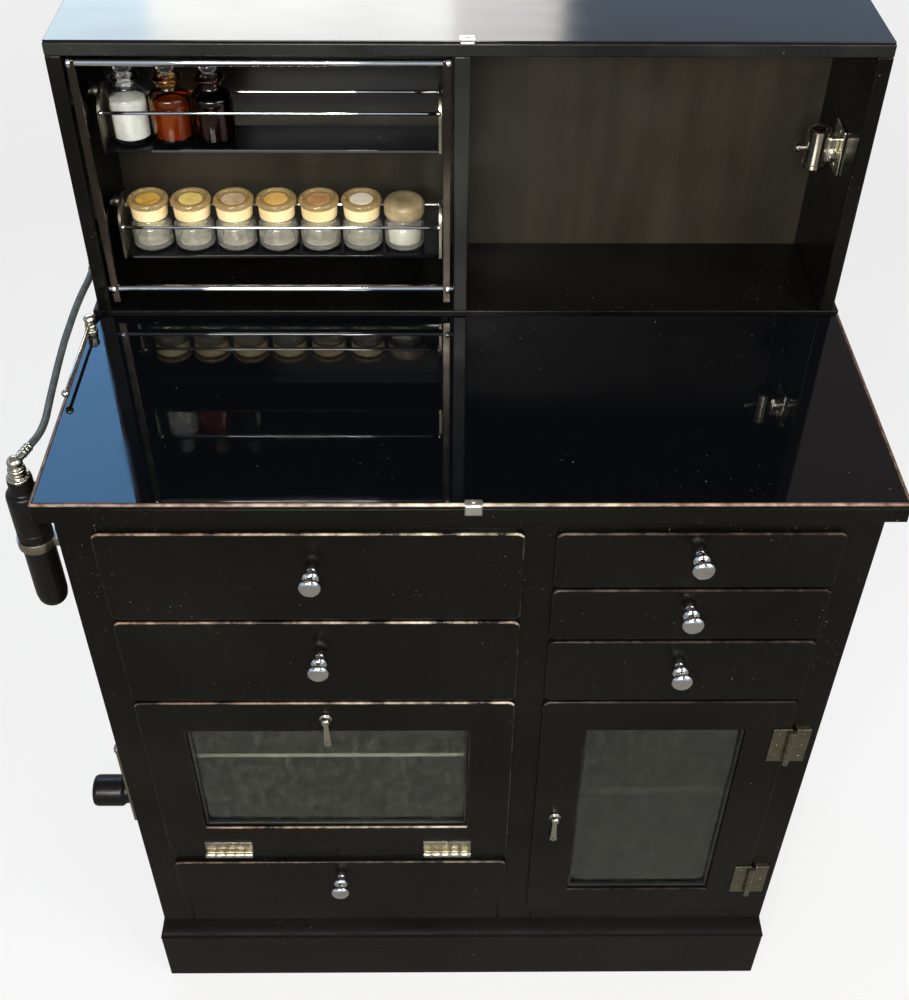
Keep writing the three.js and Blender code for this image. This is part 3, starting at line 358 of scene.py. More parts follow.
class Finish(Nodes):
    """A material under construction: its shader and its pattern makers."""

    def __init__(self, name):
        self.material = bpy.data.materials.new(name)
        self.material.use_nodes = True
        super().__init__(self.material.node_tree)
        self.shader = self.tree.nodes["Principled BSDF"]
        self.place = self.node("TexCoord").outputs["Object"]

    def set(self, **values):
        self.fill(self.shader, {key.replace("_", " "): value for key, value in values.items()})

    def noise(self, scale, detail=3.0, stretch=(1, 1, 1), roughness=0.5):
        mapped = self.node("Mapping", {"Vector": self.place, "Scale": stretch})
        inputs = {"Vector": mapped.outputs[0], "Scale": scale, "Detail": detail, "Roughness": roughness}
        return self.node("TexNoise", inputs).outputs["Fac"]

    def mask(self, fac, start, end, most=1.0):
        """Nothing up to one level of a pattern, and a full share from another."""
        return self.ramp(fac, (start, (0, 0, 0)), (end, (most, most, most)))

    def span(self, fac, low, high, start=0.0, end=1.0):
        """Maps part of a pattern's range on to a range of values."""
        inputs = {"Value": fac, "From Min": start, "From Max": end, "To Min": low, "To Max": high}
        return self.node("MapRange", inputs).outputs["Result"]

    def blend(self, fac, *colors):
        first, second = [
            color if isinstance(color, bpy.types.NodeSocket) else (*color, 1) for color in colors
        ]
        return self.node("Mix", {0: fac, 6: first, 7: second}, data_type="RGBA").outputs[2]

    def times(self, first, second):
        return self.node("Math", {0: first, 1: second}, operation="MULTIPLY").outputs[0]

    def bump(self, height, strength, distance=0.4 * MM):
        inputs = {"Height": height, "Strength": strength, "Distance": distance}
        return self.node("Bump", inputs).outputs["Normal"]

    def wear_and_highlight(self):
        return self.node("Attribute", attribute_name="wear_and_highlight").outputs["Fac"]

    def axis(self, name):
        return self.node("SeparateXYZ", {0: self.place}).outputs[name]

    def off_middle(self):
        """How far a point lies to either side of the cabinet's middle."""
        return self.node("Math", {0: self.axis("X")}, operation="ABSOLUTE").outputs[0]


PANE_INDEX = 1.35

# Rubbed wood is palest at the cabinet's middle, where the paleness is a painted highlight, and the worktop's
# edging stays dark along its two ends
PAINTED_HIGHLIGHT_MIDDLE = (30 * MM, 250 * MM)
EDGING_DARK_END = (428 * MM, 431 * MM)

# Behind the rack's upper tray the inside lacquer is painted near black as shade: how far across and from
# what height
PAINTED_SHADE_ACROSS = (-30 * MM, -5 * MM)
PAINTED_SHADE_HEIGHT = (1125 * MM, 1150 * MM)
PAINTED_SHADE_COLOR = (0.0032, 0.0034, 0.0028)


def rubbed_wood_and_highlight(finish):
    """Rubbed wood: reddish at the cabinet's two ends, and paler towards the middle as a painted highlight.
    """
    streak = finish.noise(70, 4.0)
    red = finish.ramp(streak, (0.36, (0.13, 0.062, 0.036)), (0.6, (0.4, 0.265, 0.19)))
    pale = finish.ramp(streak, (0.36, (0.34, 0.25, 0.16)), (0.6, (0.78, 0.68, 0.52)))
    # Painted highlight: the rubbed wood goes from reddish at the two ends to pale at the middle
    return finish.blend(finish.span(finish.off_middle(), 1, 0, *PAINTED_HIGHLIGHT_MIDDLE), red, pale)


def lacquer_finish(
    name, grain, dark=(0.002, 0.0019, 0.0013), warm=(0.0048, 0.0044, 0.003), gloss=0.16, shine=0.2,
    brushed=(1, 1, 1), painted_shade=False,
):
    """Old black-brown lacquer: cloudy, dusty, and rubbed through to the wood along the edges, where the bare
    wood is partly painted highlight; it can also carry painted shade behind the rack.
    """
    finish = Finish(name)
    cloud = finish.noise(5.0, 5.0, stretch=brushed)
    color = finish.blend(finish.span(cloud, 0, 1, 0.35, 0.7), dark, warm)
    if painted_shade:
        # Painted shade: near black left of the middle and above the upper tray's level, where the rack
        # shades the lining
        behind = finish.span(finish.axis("X"), 1, 0, *PAINTED_SHADE_ACROSS)
        above = finish.span(finish.axis("Z"), 0, 1, *PAINTED_SHADE_HEIGHT)
        color = finish.blend(finish.times(behind, above), color, PAINTED_SHADE_COLOR)
    dust = finish.mask(finish.noise(400, 1.0), 0.73, 0.79)
    patches = finish.mask(finish.noise(14, 4.0), 0.5, 0.62, 0.6)
    color = finish.blend(finish.times(dust, patches), color, (0.22, 0.19, 0.15))
    rubbed = finish.mask(finish.noise(26, 5.0, roughness=0.7), 0.4, 0.58)
    smudge = finish.noise(9, 4.0, stretch=(1, 1, 2))
    finish.set(
        Base_Color=finish.blend(finish.times(finish.wear_and_highlight(), rubbed), color, rubbed_wood_and_highlight(finish)),
        Roughness=finish.span(smudge, gloss, gloss + 0.2, 0.3, 0.7),
        Normal=finish.bump(finish.noise(55, 4.0, stretch=grain), 0.12, 0.15 * MM),
        Specular_IOR_Level=shine,
    )
    return finish.material, "lacquered_wood"


def worn_edging():
    """The strip round the worktop, rubbed almost bare, with a painted highlight towards the middle."""
    finish = Finish("worn_edging")
    streak = finish.noise(30, 5.0, stretch=(0.5, 2, 3), roughness=0.65)
    ends = finish.span(finish.off_middle(), 1, 0.12, *EDGING_DARK_END)
    rubbed = finish.times(finish.span(streak, 0.25, 1, 0.3, 0.6), ends)
    color = finish.blend(rubbed, (0.05, 0.025, 0.015), rubbed_wood_and_highlight(finish))
    finish.set(Base_Color=color, Roughness=finish.span(streak, 0.32, 0.55), Normal=finish.bump(streak, 0.3))
    return finish.material, "lacquered_wood"


def raw_wood(name, grain):
    """Bare oiled wood for the insides of the drawers."""
    finish = Finish(name)
    fibre = finish.noise(28, 6.0, stretch=grain, roughness=0.6)
    stops = ((0.3, (0.15, 0.075, 0.033)), (0.52, (0.27, 0.15, 0.07)), (0.7, (0.36, 0.22, 0.115)))
    color = finish.ramp(fibre, *stops)
    finish.set(Base_Color=color, Roughness=finish.span(fibre, 0.5, 0.7), Normal=finish.bump(fibre, 0.25))
    return finish.material, "lacquered_wood"


def black_glass(name, clean, smeared, index):
    """Polished black glass with a few grains of dust; clean and smeared are its least and most roughness."""
    finish = Finish(name)
    dust = finish.mask(finish.noise(300, 1.0), 0.77, 0.81)
    patches = finish.mask(finish.noise(9, 4.0), 0.5, 0.62, 0.7)
    color = finish.blend(finish.times(dust, patches), (0.0022, 0.0026, 0.0036), (0.24, 0.25, 0.26))
    smear = finish.noise(7, 5.0, stretch=(1, 2.5, 1))
    finish.set(Base_Color=color, Roughness=finish.span(smear, clean, smeared, 0.35, 0.75), IOR=index)
    return finish.material, "black_glass"


def pane_glass(name, clean, dirty, tint):
    """Old window glass under a specked film of dust; clean and dirty are how much light they let through."""
    finish = Finish(name)
    film = finish.noise(120, 5.0, stretch=(1, 1, 0.6), roughness=0.68)
    specks = finish.mask(finish.noise(260, 2.0), 0.66, 0.74)
    finish.set(
        Base_Color=finish.blend(specks, tint, (0.74, 0.78, 0.72)),
        Roughness=finish.span(film, 0.02, 0.1, 0.35, 0.7),
        Transmission_Weight=finish.span(film, clean, dirty, 0.45, 0.72),
        IOR=PANE_INDEX,
    )
    return finish.material, "pane_glass"


def plated(name, color, low, high, tarnish, slot="nickel"):
    """Bright plating with fine tarnish; low and high are its least and most roughness."""
    finish = Finish(name)
    spots = finish.mask(finish.noise(60, 5.0, roughness=0.7), 0.52, 0.7)
    rough = finish.span(finish.noise(35, 4.0), low, high, 0.3, 0.7)
    color = finish.blend(finish.times(spots, 0.6), color, tarnish)
    finish.set(Base_Color=color, Roughness=rough, Metallic=1.0)
    return finish.material, slot


def clear_glass(name, slot, color, clear=1.0):
    """Bottle and jar glass, a little smeared and, where it isn't quite clear, milky; the jar bodies'
    milkiness is a painted highlight.
    """
    finish = Finish(name)
    rough = finish.span(finish.noise(50, 3.0), 0.01, 0.05, 0.35, 0.7)
    finish.set(Base_Color=(*color, 1), Transmission_Weight=clear, IOR=1.5, Roughness=rough)
    return finish.material, slot


def grainy(name, dark, light, scale, roughness=0.6, height=0.3, shine=0.5, slot="jar_glass"):
    """A matt filling or coating, mottled between two colours."""
    finish = Finish(name)
    mottle = finish.noise(scale, 4.0, roughness=0.6)
    finish.set(
        Base_Color=finish.ramp(mottle, (0.3, dark), (0.7, light)),
        Roughness=finish.span(mottle, roughness - 0.1, roughness + 0.1),
        Normal=finish.bump(mottle, height),
        Specular_IOR_Level=shine,
    )
    return finish.material, slot


LACQUER = lacquer_finish("lacquer_level", (1, 6, 6))
LACQUER_UPRIGHT = lacquer_finish("lacquer_upright", (6, 6, 1))
LACQUER_INSIDE = lacquer_finish(
    "lacquer_inside", (6, 6, 1), dark=(0.018, 0.0152, 0.0101), warm=(0.03, 0.0251, 0.0165), gloss=0.28,
    shine=0.3, brushed=(5, 5, 0.7), painted_shade=True,
)
LACQUER_SCUFFED = lacquer_finish("lacquer_scuffed", (1, 6, 6), gloss=0.46, shine=0.12)
LACQUER_DUSTY = lacquer_finish(
    "lacquer_dusty", (6, 6, 1), dark=(0.006, 0.0066, 0.0058), warm=(0.024, 0.026, 0.0225), gloss=0.2,
    shine=0.3,
)
EDGING = worn_edging()
WOOD_ALONG = raw_wood("drawer_wood_along", (9, 1, 9))
WOOD_ACROSS = raw_wood("drawer_wood_across", (1, 9, 9))
BLACK_GLASS = black_glass("black_glass", 0.012, 0.06, 1.45)
DUSTY_GLASS = black_glass("dusty_black_glass", 0.1, 0.17, 1.55)
DOOR_GLASS = {
    "drop_door": pane_glass("pane_glass", 0.995, 0.94, (0.5, 0.52, 0.45)),
    "side_door": pane_glass("cleaner_pane_glass", 0.997, 0.966, (0.5, 0.52, 0.45)),
}
SHELF_GLASS = pane_glass("shelf_glass", 0.995, 0.97, (0.8, 0.84, 0.79))
GROUND_EDGE = grainy(
    "ground_glass_edge", (0.62, 0.68, 0.59), (0.86, 0.89, 0.81), 90, 0.3, 0.05, slot="pane_glass"
)
NICKEL = plated("nickel", (0.64, 0.61, 0.5), 0.12, 0.26, (0.38, 0.33, 0.22))
OLD_NICKEL = plated("old_nickel", (0.4, 0.37, 0.29), 0.22, 0.42, (0.18, 0.145, 0.09))
DARK_NICKEL = plated("dark_nickel", (0.27, 0.245, 0.18), 0.2, 0.4, (0.13, 0.095, 0.06))
CHROME = plated("chrome", (0.82, 0.83, 0.81), 0.03, 0.1, (0.56, 0.55, 0.51), "chrome")
ROD_CHROME = plated("rod_chrome", (0.86, 0.88, 0.9), 0.05, 0.12, (0.66, 0.66, 0.64), "chrome")
CLIP_NICKEL = plated("clip_nickel", (0.95, 0.94, 0.87), 0.28, 0.38, (0.84, 0.8, 0.68))
# Painted shade: the flat bars' nickel is darkened to stand for the dark room that they mirror
BAR_NICKEL_PAINTED_DARK = plated("bar_nickel_painted_dark", (0.095, 0.078, 0.064), 0.14, 0.3, (0.045, 0.033, 0.024), "chrome")
# Painted highlight: the clear jar glass is given a pale milky share that stands for the light the jars catch
JAR_GLASS_MILKY_HIGHLIGHT = clear_glass("jar_glass", "jar_glass", (0.96, 0.95, 0.87), 0.9)
LID_GLASS = clear_glass("lid_glass", "jar_glass", (0.88, 0.67, 0.33), 0.78)
CLEAR_GLASS = clear_glass("clear_bottle_glass", "clear_bottle", (0.96, 0.97, 0.95))
AMBER_GLASS = clear_glass("amber_glass", "amber_bottle", (0.6, 0.3, 0.055))
DARK_GLASS = clear_glass("dark_glass", "dark_bottle", (0.12, 0.05, 0.016))
POWDER = grainy("white_powder", (0.84, 0.84, 0.8), (0.96, 0.96, 0.93), 160, 0.85)
CREAM = grainy("cream_ground_glass", (0.8, 0.6, 0.28), (0.96, 0.81, 0.48), 40, 0.5, 0.1)
# Painted highlight: a pale disc on each jar's floor stands for the light its base catches
BASE_HIGHLIGHT = grainy("dried_residue", (0.36, 0.34, 0.26), (0.76, 0.73, 0.6), 60)
HORN = grainy("horn_lid", (0.2, 0.15, 0.07), (0.5, 0.4, 0.24), 34, 0.32, 0.1)
LIQUID = grainy("brown_liquid", (0.3, 0.12, 0.02), (0.5, 0.22, 0.045), 20, 0.3, 0.05)
RUBBER = grainy(
    "hose_rubber", (0.035, 0.044, 0.043), (0.075, 0.09, 0.088), 120, 0.42, 0.15, slot="hose_rubber"
)
EBONITE = grainy(
    "ebonite", (0.003, 0.0028, 0.0026), (0.007, 0.0064, 0.0058), 60, 0.3, 0.08, 0.25, slot="ebonite"
)


# The carcass

FRAME_WEAR = 0.2
HUTCH_WEAR = 0.04
FRONTS = {
    "left": ["drawer_left_top", "drawer_left_middle", "drop_door_frame", "drawer_left_bottom"],
    "right": ["drawer_right_top", "drawer_right_middle", "drawer_right_lower", "side_door_frame"],
}
COVE_STEPS = 10


@part
def skirt(shape, low, high):
    """The plinth's hollow skirting, with a sleeper under the cabinet's middle."""
    verts = add_block(shape, low, (high.x, high.y, PLINTH_HEIGHT))
    flat = [face for face in shape.faces if abs(face.normal.z) > 0.9]
    bmesh.ops.delete(shape, geom=flat, context="FACES_ONLY")
    round_off(shape, edges_of(verts, UP), 2 * MM, 3)
    bmesh.ops.solidify(shape, geom=shape.faces[:], thickness=PLINTH_WALL)
    half = PLINTH_WALL / 2
    add_block(shape, (-half, low.y + PLINTH_WALL, 0), (half, high.y - PLINTH_WALL, PLINTH_HEIGHT))


@part
def cove(shape, outer, inner, place, move, mitres, **side):
    """A run of cove moulding: place turns (across, height) into a point, and mitres cut its ends."""
    points = [(inner, 0.0), (outer, 0.0)]
    for step in range(COVE_STEPS + 1):
        turn = step / COVE_STEPS * math.pi / 2
        across = inner + (outer - inner) * (1 - math.sin(turn))
        points.append((across, COVE_HEIGHT * (1 - math.cos(turn)) + COVE_STEP))
    section = [shape.verts.new(place(across, PLINTH_HEIGHT + height)) for across, height in points]
    pull(shape, [shape.faces.new(section)], move)
    for corner, normal in mitres:
        whole = shape.verts[:] + shape.edges[:] + shape.faces[:]
        bmesh.ops.bisect_plane(shape, geom=whole, plane_co=corner, plane_no=normal, **side)


def dress_plinth():
    """The skirting, the cabinet's floor, and cove moulding that is mitred at the two front corners."""
    low, high = box_of("plinth")
    inner = box_of("face_frame")[0]
    floor = board((inner.x, inner.y, PLINTH_HEIGHT), (-inner.x, high.y, inner.z), PLATE_EASE)
    make_piece("plinth_skirt", "cabinet", LACQUER, "plinth", skirt(low, high))
    make_piece("cabinet_floor", "cabinet", LACQUER_INSIDE, "plinth", floor)
    mitre = Vector((inner.y - low.y, low.x - inner.x, 0)).normalized()
    mitres = [((low.x * sign, low.y, 0), (mitre.x * sign, mitre.y, 0)) for sign in (1, -1)]
    runs = {
        "front": cove(
            low.y, inner.y, lambda across, height: (low.x, across, height), (-2 * low.x, 0, 0), mitres,
            clear_inner=True,
        )
    }
    for side, sign, cut in (("left", 1, mitres[:1]), ("right", -1, mitres[1:])):
        runs[side] = cove(
            low.x * sign, inner.x * sign, lambda across, height: (across, low.y, height),
            (0, high.y - low.y, 0), cut, clear_outer=True,
        )
    for side, run in runs.items():
        make_piece(f"plinth_cove_{side}", "cabinet", LACQUER_SCUFFED, "plinth", run)


def dress_face_frame():
    """Stiles and rails round the eight openings, each with its own eased edges."""
    low, high = box_of("face_frame")
    edges = [low.x]
    for side in FRONTS:
        front_low, front_high = box_of(FRONTS[side][0])
        edges += [front_low.x + FRONT_COVER, front_high.x - FRONT_COVER]
    edges.append(high.x)
    parts = []
    for x0, x1 in zip(edges[::2], edges[1::2]):
        parts.append(board((x0, low.y, low.z), (x1, high.y, high.z), 1.2 * MM, FRAME_WEAR))
    for x0, x1, side in zip(edges[1::2], edges[2::2], FRONTS):
        levels = [high.z]
        for name in FRONTS[side]:
            front_low, front_high = box_of(name)
            levels += [front_high.z - FRONT_COVER, front_low.z + FRONT_COVER]
        levels.append(low.z)
        for z1, z0 in zip(levels[::2], levels[1::2]):
            parts.append(board((x0, low.y, z0), (x1, high.y, z1), 0.8 * MM, FRAME_WEAR))
    make_piece("face_stiles_and_rails", "cabinet", LACQUER_UPRIGHT, "face_frame", *parts)


def dress_worktop():
    """The board, a strip round the glass in two layers, and the glass that is let into them."""
    low, high = box_of("worktop_board")
    glass_low, glass_high = box_of("worktop_glass")
    parting = glass_high.z - 2.4 * MM
    gap = 0.2 * MM
    front, back = glass_low.y - gap, glass_high.y - gap
    under = board(low, (high.x, high.y, glass_low.z), GLASS_EASE)
    behind = board((low.x, glass_high.y, glass_low.z), high)
    make_piece("worktop_boards", "cabinet", LACQUER, "worktop_board", under, behind)
    for name, z0, z1, look in (
        ("worktop_edge_strip", glass_low.z + gap, parting, LACQUER),
        ("worktop_edging", parting + 0.1 * MM, glass_high.z + 0.4 * MM, EDGING),
    ):
        strips = [board((low.x, low.y, z0), (high.x, front, z1), GLASS_EASE)]
        for x0, x1 in ((low.x, glass_low.x - gap), (glass_high.x + gap, high.x)):
            strips.append(board((x0, front, z0), (x1, back, z1), GLASS_EASE))
        make_piece(name, "cabinet", look, None, *strips)
    glass = board(glass_low, glass_high, GLASS_EASE)
    make_piece("worktop_glass_plate", "cabinet", BLACK_GLASS, "worktop_glass", glass)


def dress_hutch():
    low, high = box_of("hutch_top")
    level = high.z - GLASS_PLATE
    for name, look, box in (
        ("hutch_left_side", LACQUER_UPRIGHT, box_of("hutch_left_side")),
        ("hutch_right_side", LACQUER_UPRIGHT, box_of("hutch_right_side")),
        ("hutch_divider", LACQUER_DUSTY, box_of("hutch_divider")),
        ("hutch_top", LACQUER_DUSTY, (low, (high.x, high.y, level))),
    ):
        make_piece(f"{name}_board", "cabinet", look, name, board(*box, worn=HUTCH_WEAR))
    inset = Vector((1 * MM, 1 * MM, 0))
    glass = board(Vector((low.x, low.y, level + 0.1 * MM)) + inset, high - inset, 0.7 * MM)
    make_piece("hutch_top_glass", "cabinet", DUSTY_GLASS, "hutch_top", glass)


@part
def clip(shape, place, width, drop, reach):
    """A small clip that holds a glass plate's front edge: a bulging front and a tab on top."""
    plate = 1.6 * MM
    bulge = 3.6 * MM
    x, y, z = place
    x0, x1 = x - width / 2, x + width / 2
    verts = add_block(shape, (x0, y - bulge, z - drop), (x1, y - 0.1 * MM, z + plate))
    front = [edge for edge in edges_of(verts) if all(vert.co.y < y - bulge / 2 for vert in edge.verts)]
    ease_edges(shape, front, min(bulge, drop) * 0.8, segments=5)
    board((x0, y - 1 * MM, z + 0.1 * MM), (x1, y + reach, z + plate), 0.7 * MM)(shape)
    screw((x, y + reach / 2, z + plate), UP)(shape)


def dress_clips():
    worktop = (2 * MM, box_of("worktop_board")[0].y, box_of("worktop_glass")[1].z + 0.5 * MM)
    low, high = box_of("hutch_top")
    for name, fitted in (
        ("worktop_glass_clip", clip(worktop, width=18 * MM, drop=13 * MM, reach=6 * MM)),
        ("hutch_glass_clip", clip((-3 * MM, low.y, high.z), width=16 * MM, drop=4 * MM, reach=12 * MM)),
    ):
        make_piece(name, "cabinet", CLIP_NICKEL, None, fitted)


def dress_inside():
    """The boards inside keep their own shape; the glass shelf gets a ground front edge."""
    for look, names in (
        (LACQUER_UPRIGHT, ("base_left_side", "base_right_side", "partition")),
        (LACQUER_INSIDE, ("left_cupboard_floor", "right_cupboard_shelf", "back_panel")),
    ):
        for name in names:
            materials = frame["nodes"][name].data.materials
            materials.clear()
            materials.append(look[0])
    node = "left_cupboard_shelf"
    low, high = box_of(node)
    edge = low.y + 1.2 * MM
    shelf = board((low.x, edge, low.z), high, PLATE_EASE)
    ground = board(low, (high.x, edge - 0.05 * MM, high.z), 0.4 * MM)
    make_piece("left_shelf_glass", "cabinet", SHELF_GLASS, node, shelf)
    make_piece("left_shelf_edge", "cabinet", GROUND_EDGE, node, ground)


# Drawers, doors and their metalwork

DRAWERS = ["left_top", "left_middle", "left_bottom", "right_top", "right_middle", "right_lower"]
FRONT_WEAR = {
    "drawer_left_top": 1.0, "drawer_left_middle": 0.8, "drawer_left_bottom": 0.25, "drop_door": 0.75,
    "drawer_right_top": 0.15, "drawer_right_middle": 0.12, "drawer_right_lower": 0.15, "side_door": 0.07,
}

# A knob's stem in millimetres, and its cap as shares of the face's radius at heights in millimetres
KNOB_STEM = [
    (0, 0), (5, 0), (5, 1.2), (4.1, 2.4), (3.9, 4.6), (6.6, 6.4), (9.3, 8.6), (9.5, 10.4), (9.2, 12.6),
    (6.8, 15), (4.4, 16.6), (4.2, 17.8), (6.2, 19.6),
]
KNOB_CAP = [(0.9, 22), (1, 24.6), (0.94, 26.8), (0.76, 29), (0.42, 30.4), (0, 31)]


def dress_drawer(name):
    node = f"drawer_{name}"
    low, high = box_of(node)
    inset = FRONT_COVER + RUN_GAP
    x0, x1, z0, z1 = low.x + inset, high.x - inset, low.z + inset, high.z - inset
    lip_back = low.y + LIP
    inner_back = low.y + FACE_PROUD + FRONT_INNER
    wall = DRAWER_WALL
    make_piece(
        f"{node}_front", node, LACQUER, node,
        lip_board(low, (high.x, lip_back, high.z), FRONT_WEAR[node]),
        board((x0, lip_back - 1 * MM, z0), (x1, inner_back, z1), 1 * MM),
    )
    sides = [board((side, inner_back, z0), (side + wall, high.y, z1)) for side in (x0, x1 - wall)]
    make_piece(f"{node}_sides", node, WOOD_ALONG, node, *sides)
    make_piece(
        f"{node}_bottom_and_back", node, WOOD_ACROSS, node,
        board((x0 + wall, high.y - wall, z0), (x1 - wall, high.y, z1)),
        board((x0 + wall, inner_back, z0), (x1 - wall, high.y - wall, z0 + DRAWER_BOTTOM), PLATE_EASE),
    )


def dress_knob(name):
    node = f"knob_{name}"
    low, high = box_of(node)
    face = (high.z - low.z) / 2 / MM
    profile = eased(1.6, KNOB_STEM + [(face * share, height) for share, height in KNOB_CAP])
    foot = ((low.x + high.x) / 2, high.y, (low.z + high.z) / 2)
    make_piece(f"{node}_turned", f"drawer_{name}", CHROME, node, turned(profile, foot, FORWARD), sharp=60)


BEAD = 4 * MM
BEAD_RISE = 3.2 * MM
PANE_BEVEL = 9 * MM
PANE_BEVEL_DEPTH = 1.2 * MM


@part
def bevelled(shape, low, high):
    """A pane whose face is bevelled down all round, as far as the bead that holds it."""
    add_block(shape, low, high)
    front = min(shape.faces, key=lambda face: face.normal.y)
    for width in (PANE_REBATE + BEAD, PANE_BEVEL):
        bmesh.ops.inset_region(shape, faces=[front], thickness=width, use_even_offset=True)
    face = list(front.verts)
    border = [vert for vert in shape.verts if vert.co.y < low.y + PANE_BEVEL_DEPTH / 2 and vert not in face]
    bmesh.ops.translate(shape, verts=border, vec=(0, PANE_BEVEL_DEPTH, 0))


def grown(rectangle, amount):
    x0, x1, z0, z1 = rectangle
    return x0 - amount, x1 + amount, z0 - amount, z1 + amount


def dress_door(name):
    """A glazed door: the lipped frame in three layers, a bead round the window and the pane."""
    low, high = box_of(f"{name}_frame")
    outer = (low.x, high.x, low.z, high.z)
    window = grown(outer, -DOOR_RAIL)
    inner = grown(outer, -(FRONT_COVER + RUN_GAP))
    rebate = grown(window, PANE_REBATE)
    pane = low.y + PANE_SETBACK
    lip_back = low.y + LIP
    bead_back = pane + PANE_BEVEL_DEPTH + 0.1 * MM
    for layer, sizes in (
        ("face", (outer, window, low.y, lip_back, (FRONT_CORNER, 1.5 * MM), FRONT_EASE, FRONT_WEAR[name])),
        ("core", (inner, window, lip_back - 0.5 * MM, pane, (2 * MM, 1.5 * MM), 0.3 * MM)),
        ("rebate", (inner, rebate, pane - 0.2 * MM, high.y, (2 * MM, 1 * MM), 0.6 * MM)),
    ):
        make_piece(f"{name}_{layer}", name, LACQUER, f"{name}_frame", ring(*sizes))
    bead = ring(window, grown(window, -BEAD), pane - BEAD_RISE, bead_back, (1 * MM, 0.8 * MM), 1.2 * MM)
    make_piece(f"{name}_bead", name, LACQUER_DUSTY, None, bead)
    node = f"{name}_pane"
    make_piece(f"{name}_bevelled_pane", name, DOOR_GLASS[name], node, bevelled(*box_of(node)), sharp=5)


LATCH_BOSS_RADIUS = 7.5
LATCH_BOSS = eased(0.8, [
    (0, 0), (LATCH_BOSS_RADIUS, 0), (LATCH_BOSS_RADIUS, 2), (5.4, 3.2), (5.4, 7), (4, 9.6), (0, 10),
])
LATCH_TIP = eased(1.4, [(0, 0), (4.9, 0), (4.9, 4), (0, 4)])
LATCH_TAIL = 2.6 * MM
LATCH_FACE = 19.7 * MM - FRONT_EDGE


@part
def latch_tail(shape, x, low, high):
    """A bar that widens towards its lower end."""
    tail = add_block(shape, low, high)
    tip = [vert for vert in tail if vert.co.z < (low[2] + high[2]) / 2]
    bmesh.ops.scale(shape, vec=(1.7, 1, 1), space=Matrix.Translation((-x, 0, 0)), verts=tip)
    ease_edges(shape, edges_of(tail), 1.4 * MM)


def dress_latch(door, body):
    """A turned boss with a drop-shaped lever, on a spindle through the door."""
    node = f"{door}_latch"
    low, high = box_of(node)
    x = (low.x + high.x) / 2
    z = high.z - LATCH_BOSS_RADIUS * MM
    middle = (x, LATCH_FACE, z)
    back = LATCH_FACE - 2 * MM
    tail_low = (x - LATCH_TAIL, LATCH_FACE - 6 * MM, low.z + 4 * MM)
    make_piece(
        f"{node}_lever", body, NICKEL, node,
        turned(LATCH_BOSS, middle, FORWARD),
        rod(middle, (x, high.y + 0.8 * MM, z), 3 * MM),
        latch_tail(x, tail_low, (x + LATCH_TAIL, back, z)),
        turned(LATCH_TIP, (x, back, low.z + 5 * MM), FORWARD, 32),
        sharp=50,
    )


KNUCKLES = 5
SCREW_SHARES = (0.16, 0.5, 0.84)

# How far the two edges of a fixed leaf lie from the hinge's pin
FIXED_LEAF = (5.2 * MM, 23 * MM)


@part
def barrel(shape, start, end):
    """A hinge's barrel: short knuckles on a pin."""
    start, end = Vector(start), Vector(end)
    for step in range(KNUCKLES):
        first = start.lerp(end, (step + 0.02) / KNUCKLES)
        last = start.lerp(end, (step + 0.98) / KNUCKLES)
        rod(first, last, HINGE_KNUCKLE * 0.96)(shape)
    rod(start, end, HINGE_KNUCKLE * 0.8)(shape)


@part
def screws(shape, start, end):
    for share in SCREW_SHARES:
        screw(Vector(start).lerp(Vector(end), share), FORWARD)(shape)


def dress_drop_hinge(side):
    node = f"drop_door_hinge_{side}"
    low, high = box_of(node)
    y, z = low.y + HINGE_KNUCKLE, low.z + HINGE_KNUCKLE
    face = high.y - HINGE_LEAF
    row = z + 13 * MM
    leaf = board((low.x, face, z), high, PLATE_EASE)
    fixings = screws((low.x, face, row), (high.x, face, row))
    make_piece(f"{node}_leaf", "drop_door", OLD_NICKEL, node, leaf, fixings)
    make_piece(f"{node}_barrel", "drop_door", NICKEL, node, barrel((low.x, y, z), (high.x, y, z)))


def dress_side_hinge(place):
    """The leaf and barrel on the door, and the leaf on the stile with the packing under it."""
    node = f"side_door_hinge_{place}"
    low, high = box_of(node)
    x, y = high.x - HINGE_KNUCKLE, low.y + HINGE_KNUCKLE
    x0, x1 = x + FIXED_LEAF[0], x + FIXED_LEAF[1]
    face = high.y - HINGE_LEAF
    row, fixed_row = low.x + 8 * MM, x0 + 10 * MM
    stile = box_of("face_frame")[0].y
    inset = 1 * MM
    make_piece(
        f"{node}_leaf", "side_door", DARK_NICKEL, node,
        board((low.x, face, low.z), (x, high.y, high.z), PLATE_EASE),
        barrel((x, y, low.z), (x, y, high.z)),
        screws((row, face, low.z), (row, face, high.z)),
    )
    make_piece(
        f"{node}_fixed_leaf", "cabinet", DARK_NICKEL, None,
        board((x0, face, low.z), (x1, high.y, high.z), PLATE_EASE),
        board((x0, high.y, low.z + inset), (x1 - inset, stile, high.z - inset), PLATE_EASE),
        screws((fixed_row, face, low.z), (fixed_row, face, high.z)),
    )


# The rack, its trays and what stands in them

BAR_WIDTH = 9 * MM
BAR_DEPTH = 4 * MM
RACK_GAP = 2.7 * MM
RACK_PLATE = 2.5 * MM
RACK_PLATE_DEPTH = 8 * MM
RACK_ROD = 4 * MM
COLLAR = 4 * MM
ARM_RADIUS = 8 * MM
TRAY_PIVOT_RISE = 54 * MM
TRAY_SHELF = 4 * MM
TRAY_END = 3 * MM
PIN_REACH = 10 * MM
PIN_RADIUS = 3 * MM
TRAY_ROD = 2 * MM
TRAY_ROD_BALL = 3.4 * MM
TRAY_ROD_RISE = {"upper_tray": 41 * MM, "lower_tray": 35 * MM}


def across(x0, x1, y, z, radius, *ease):
    """A rod that lies straight across."""
    return rod((x0, y, z), (x1, y, z), radius, *ease)


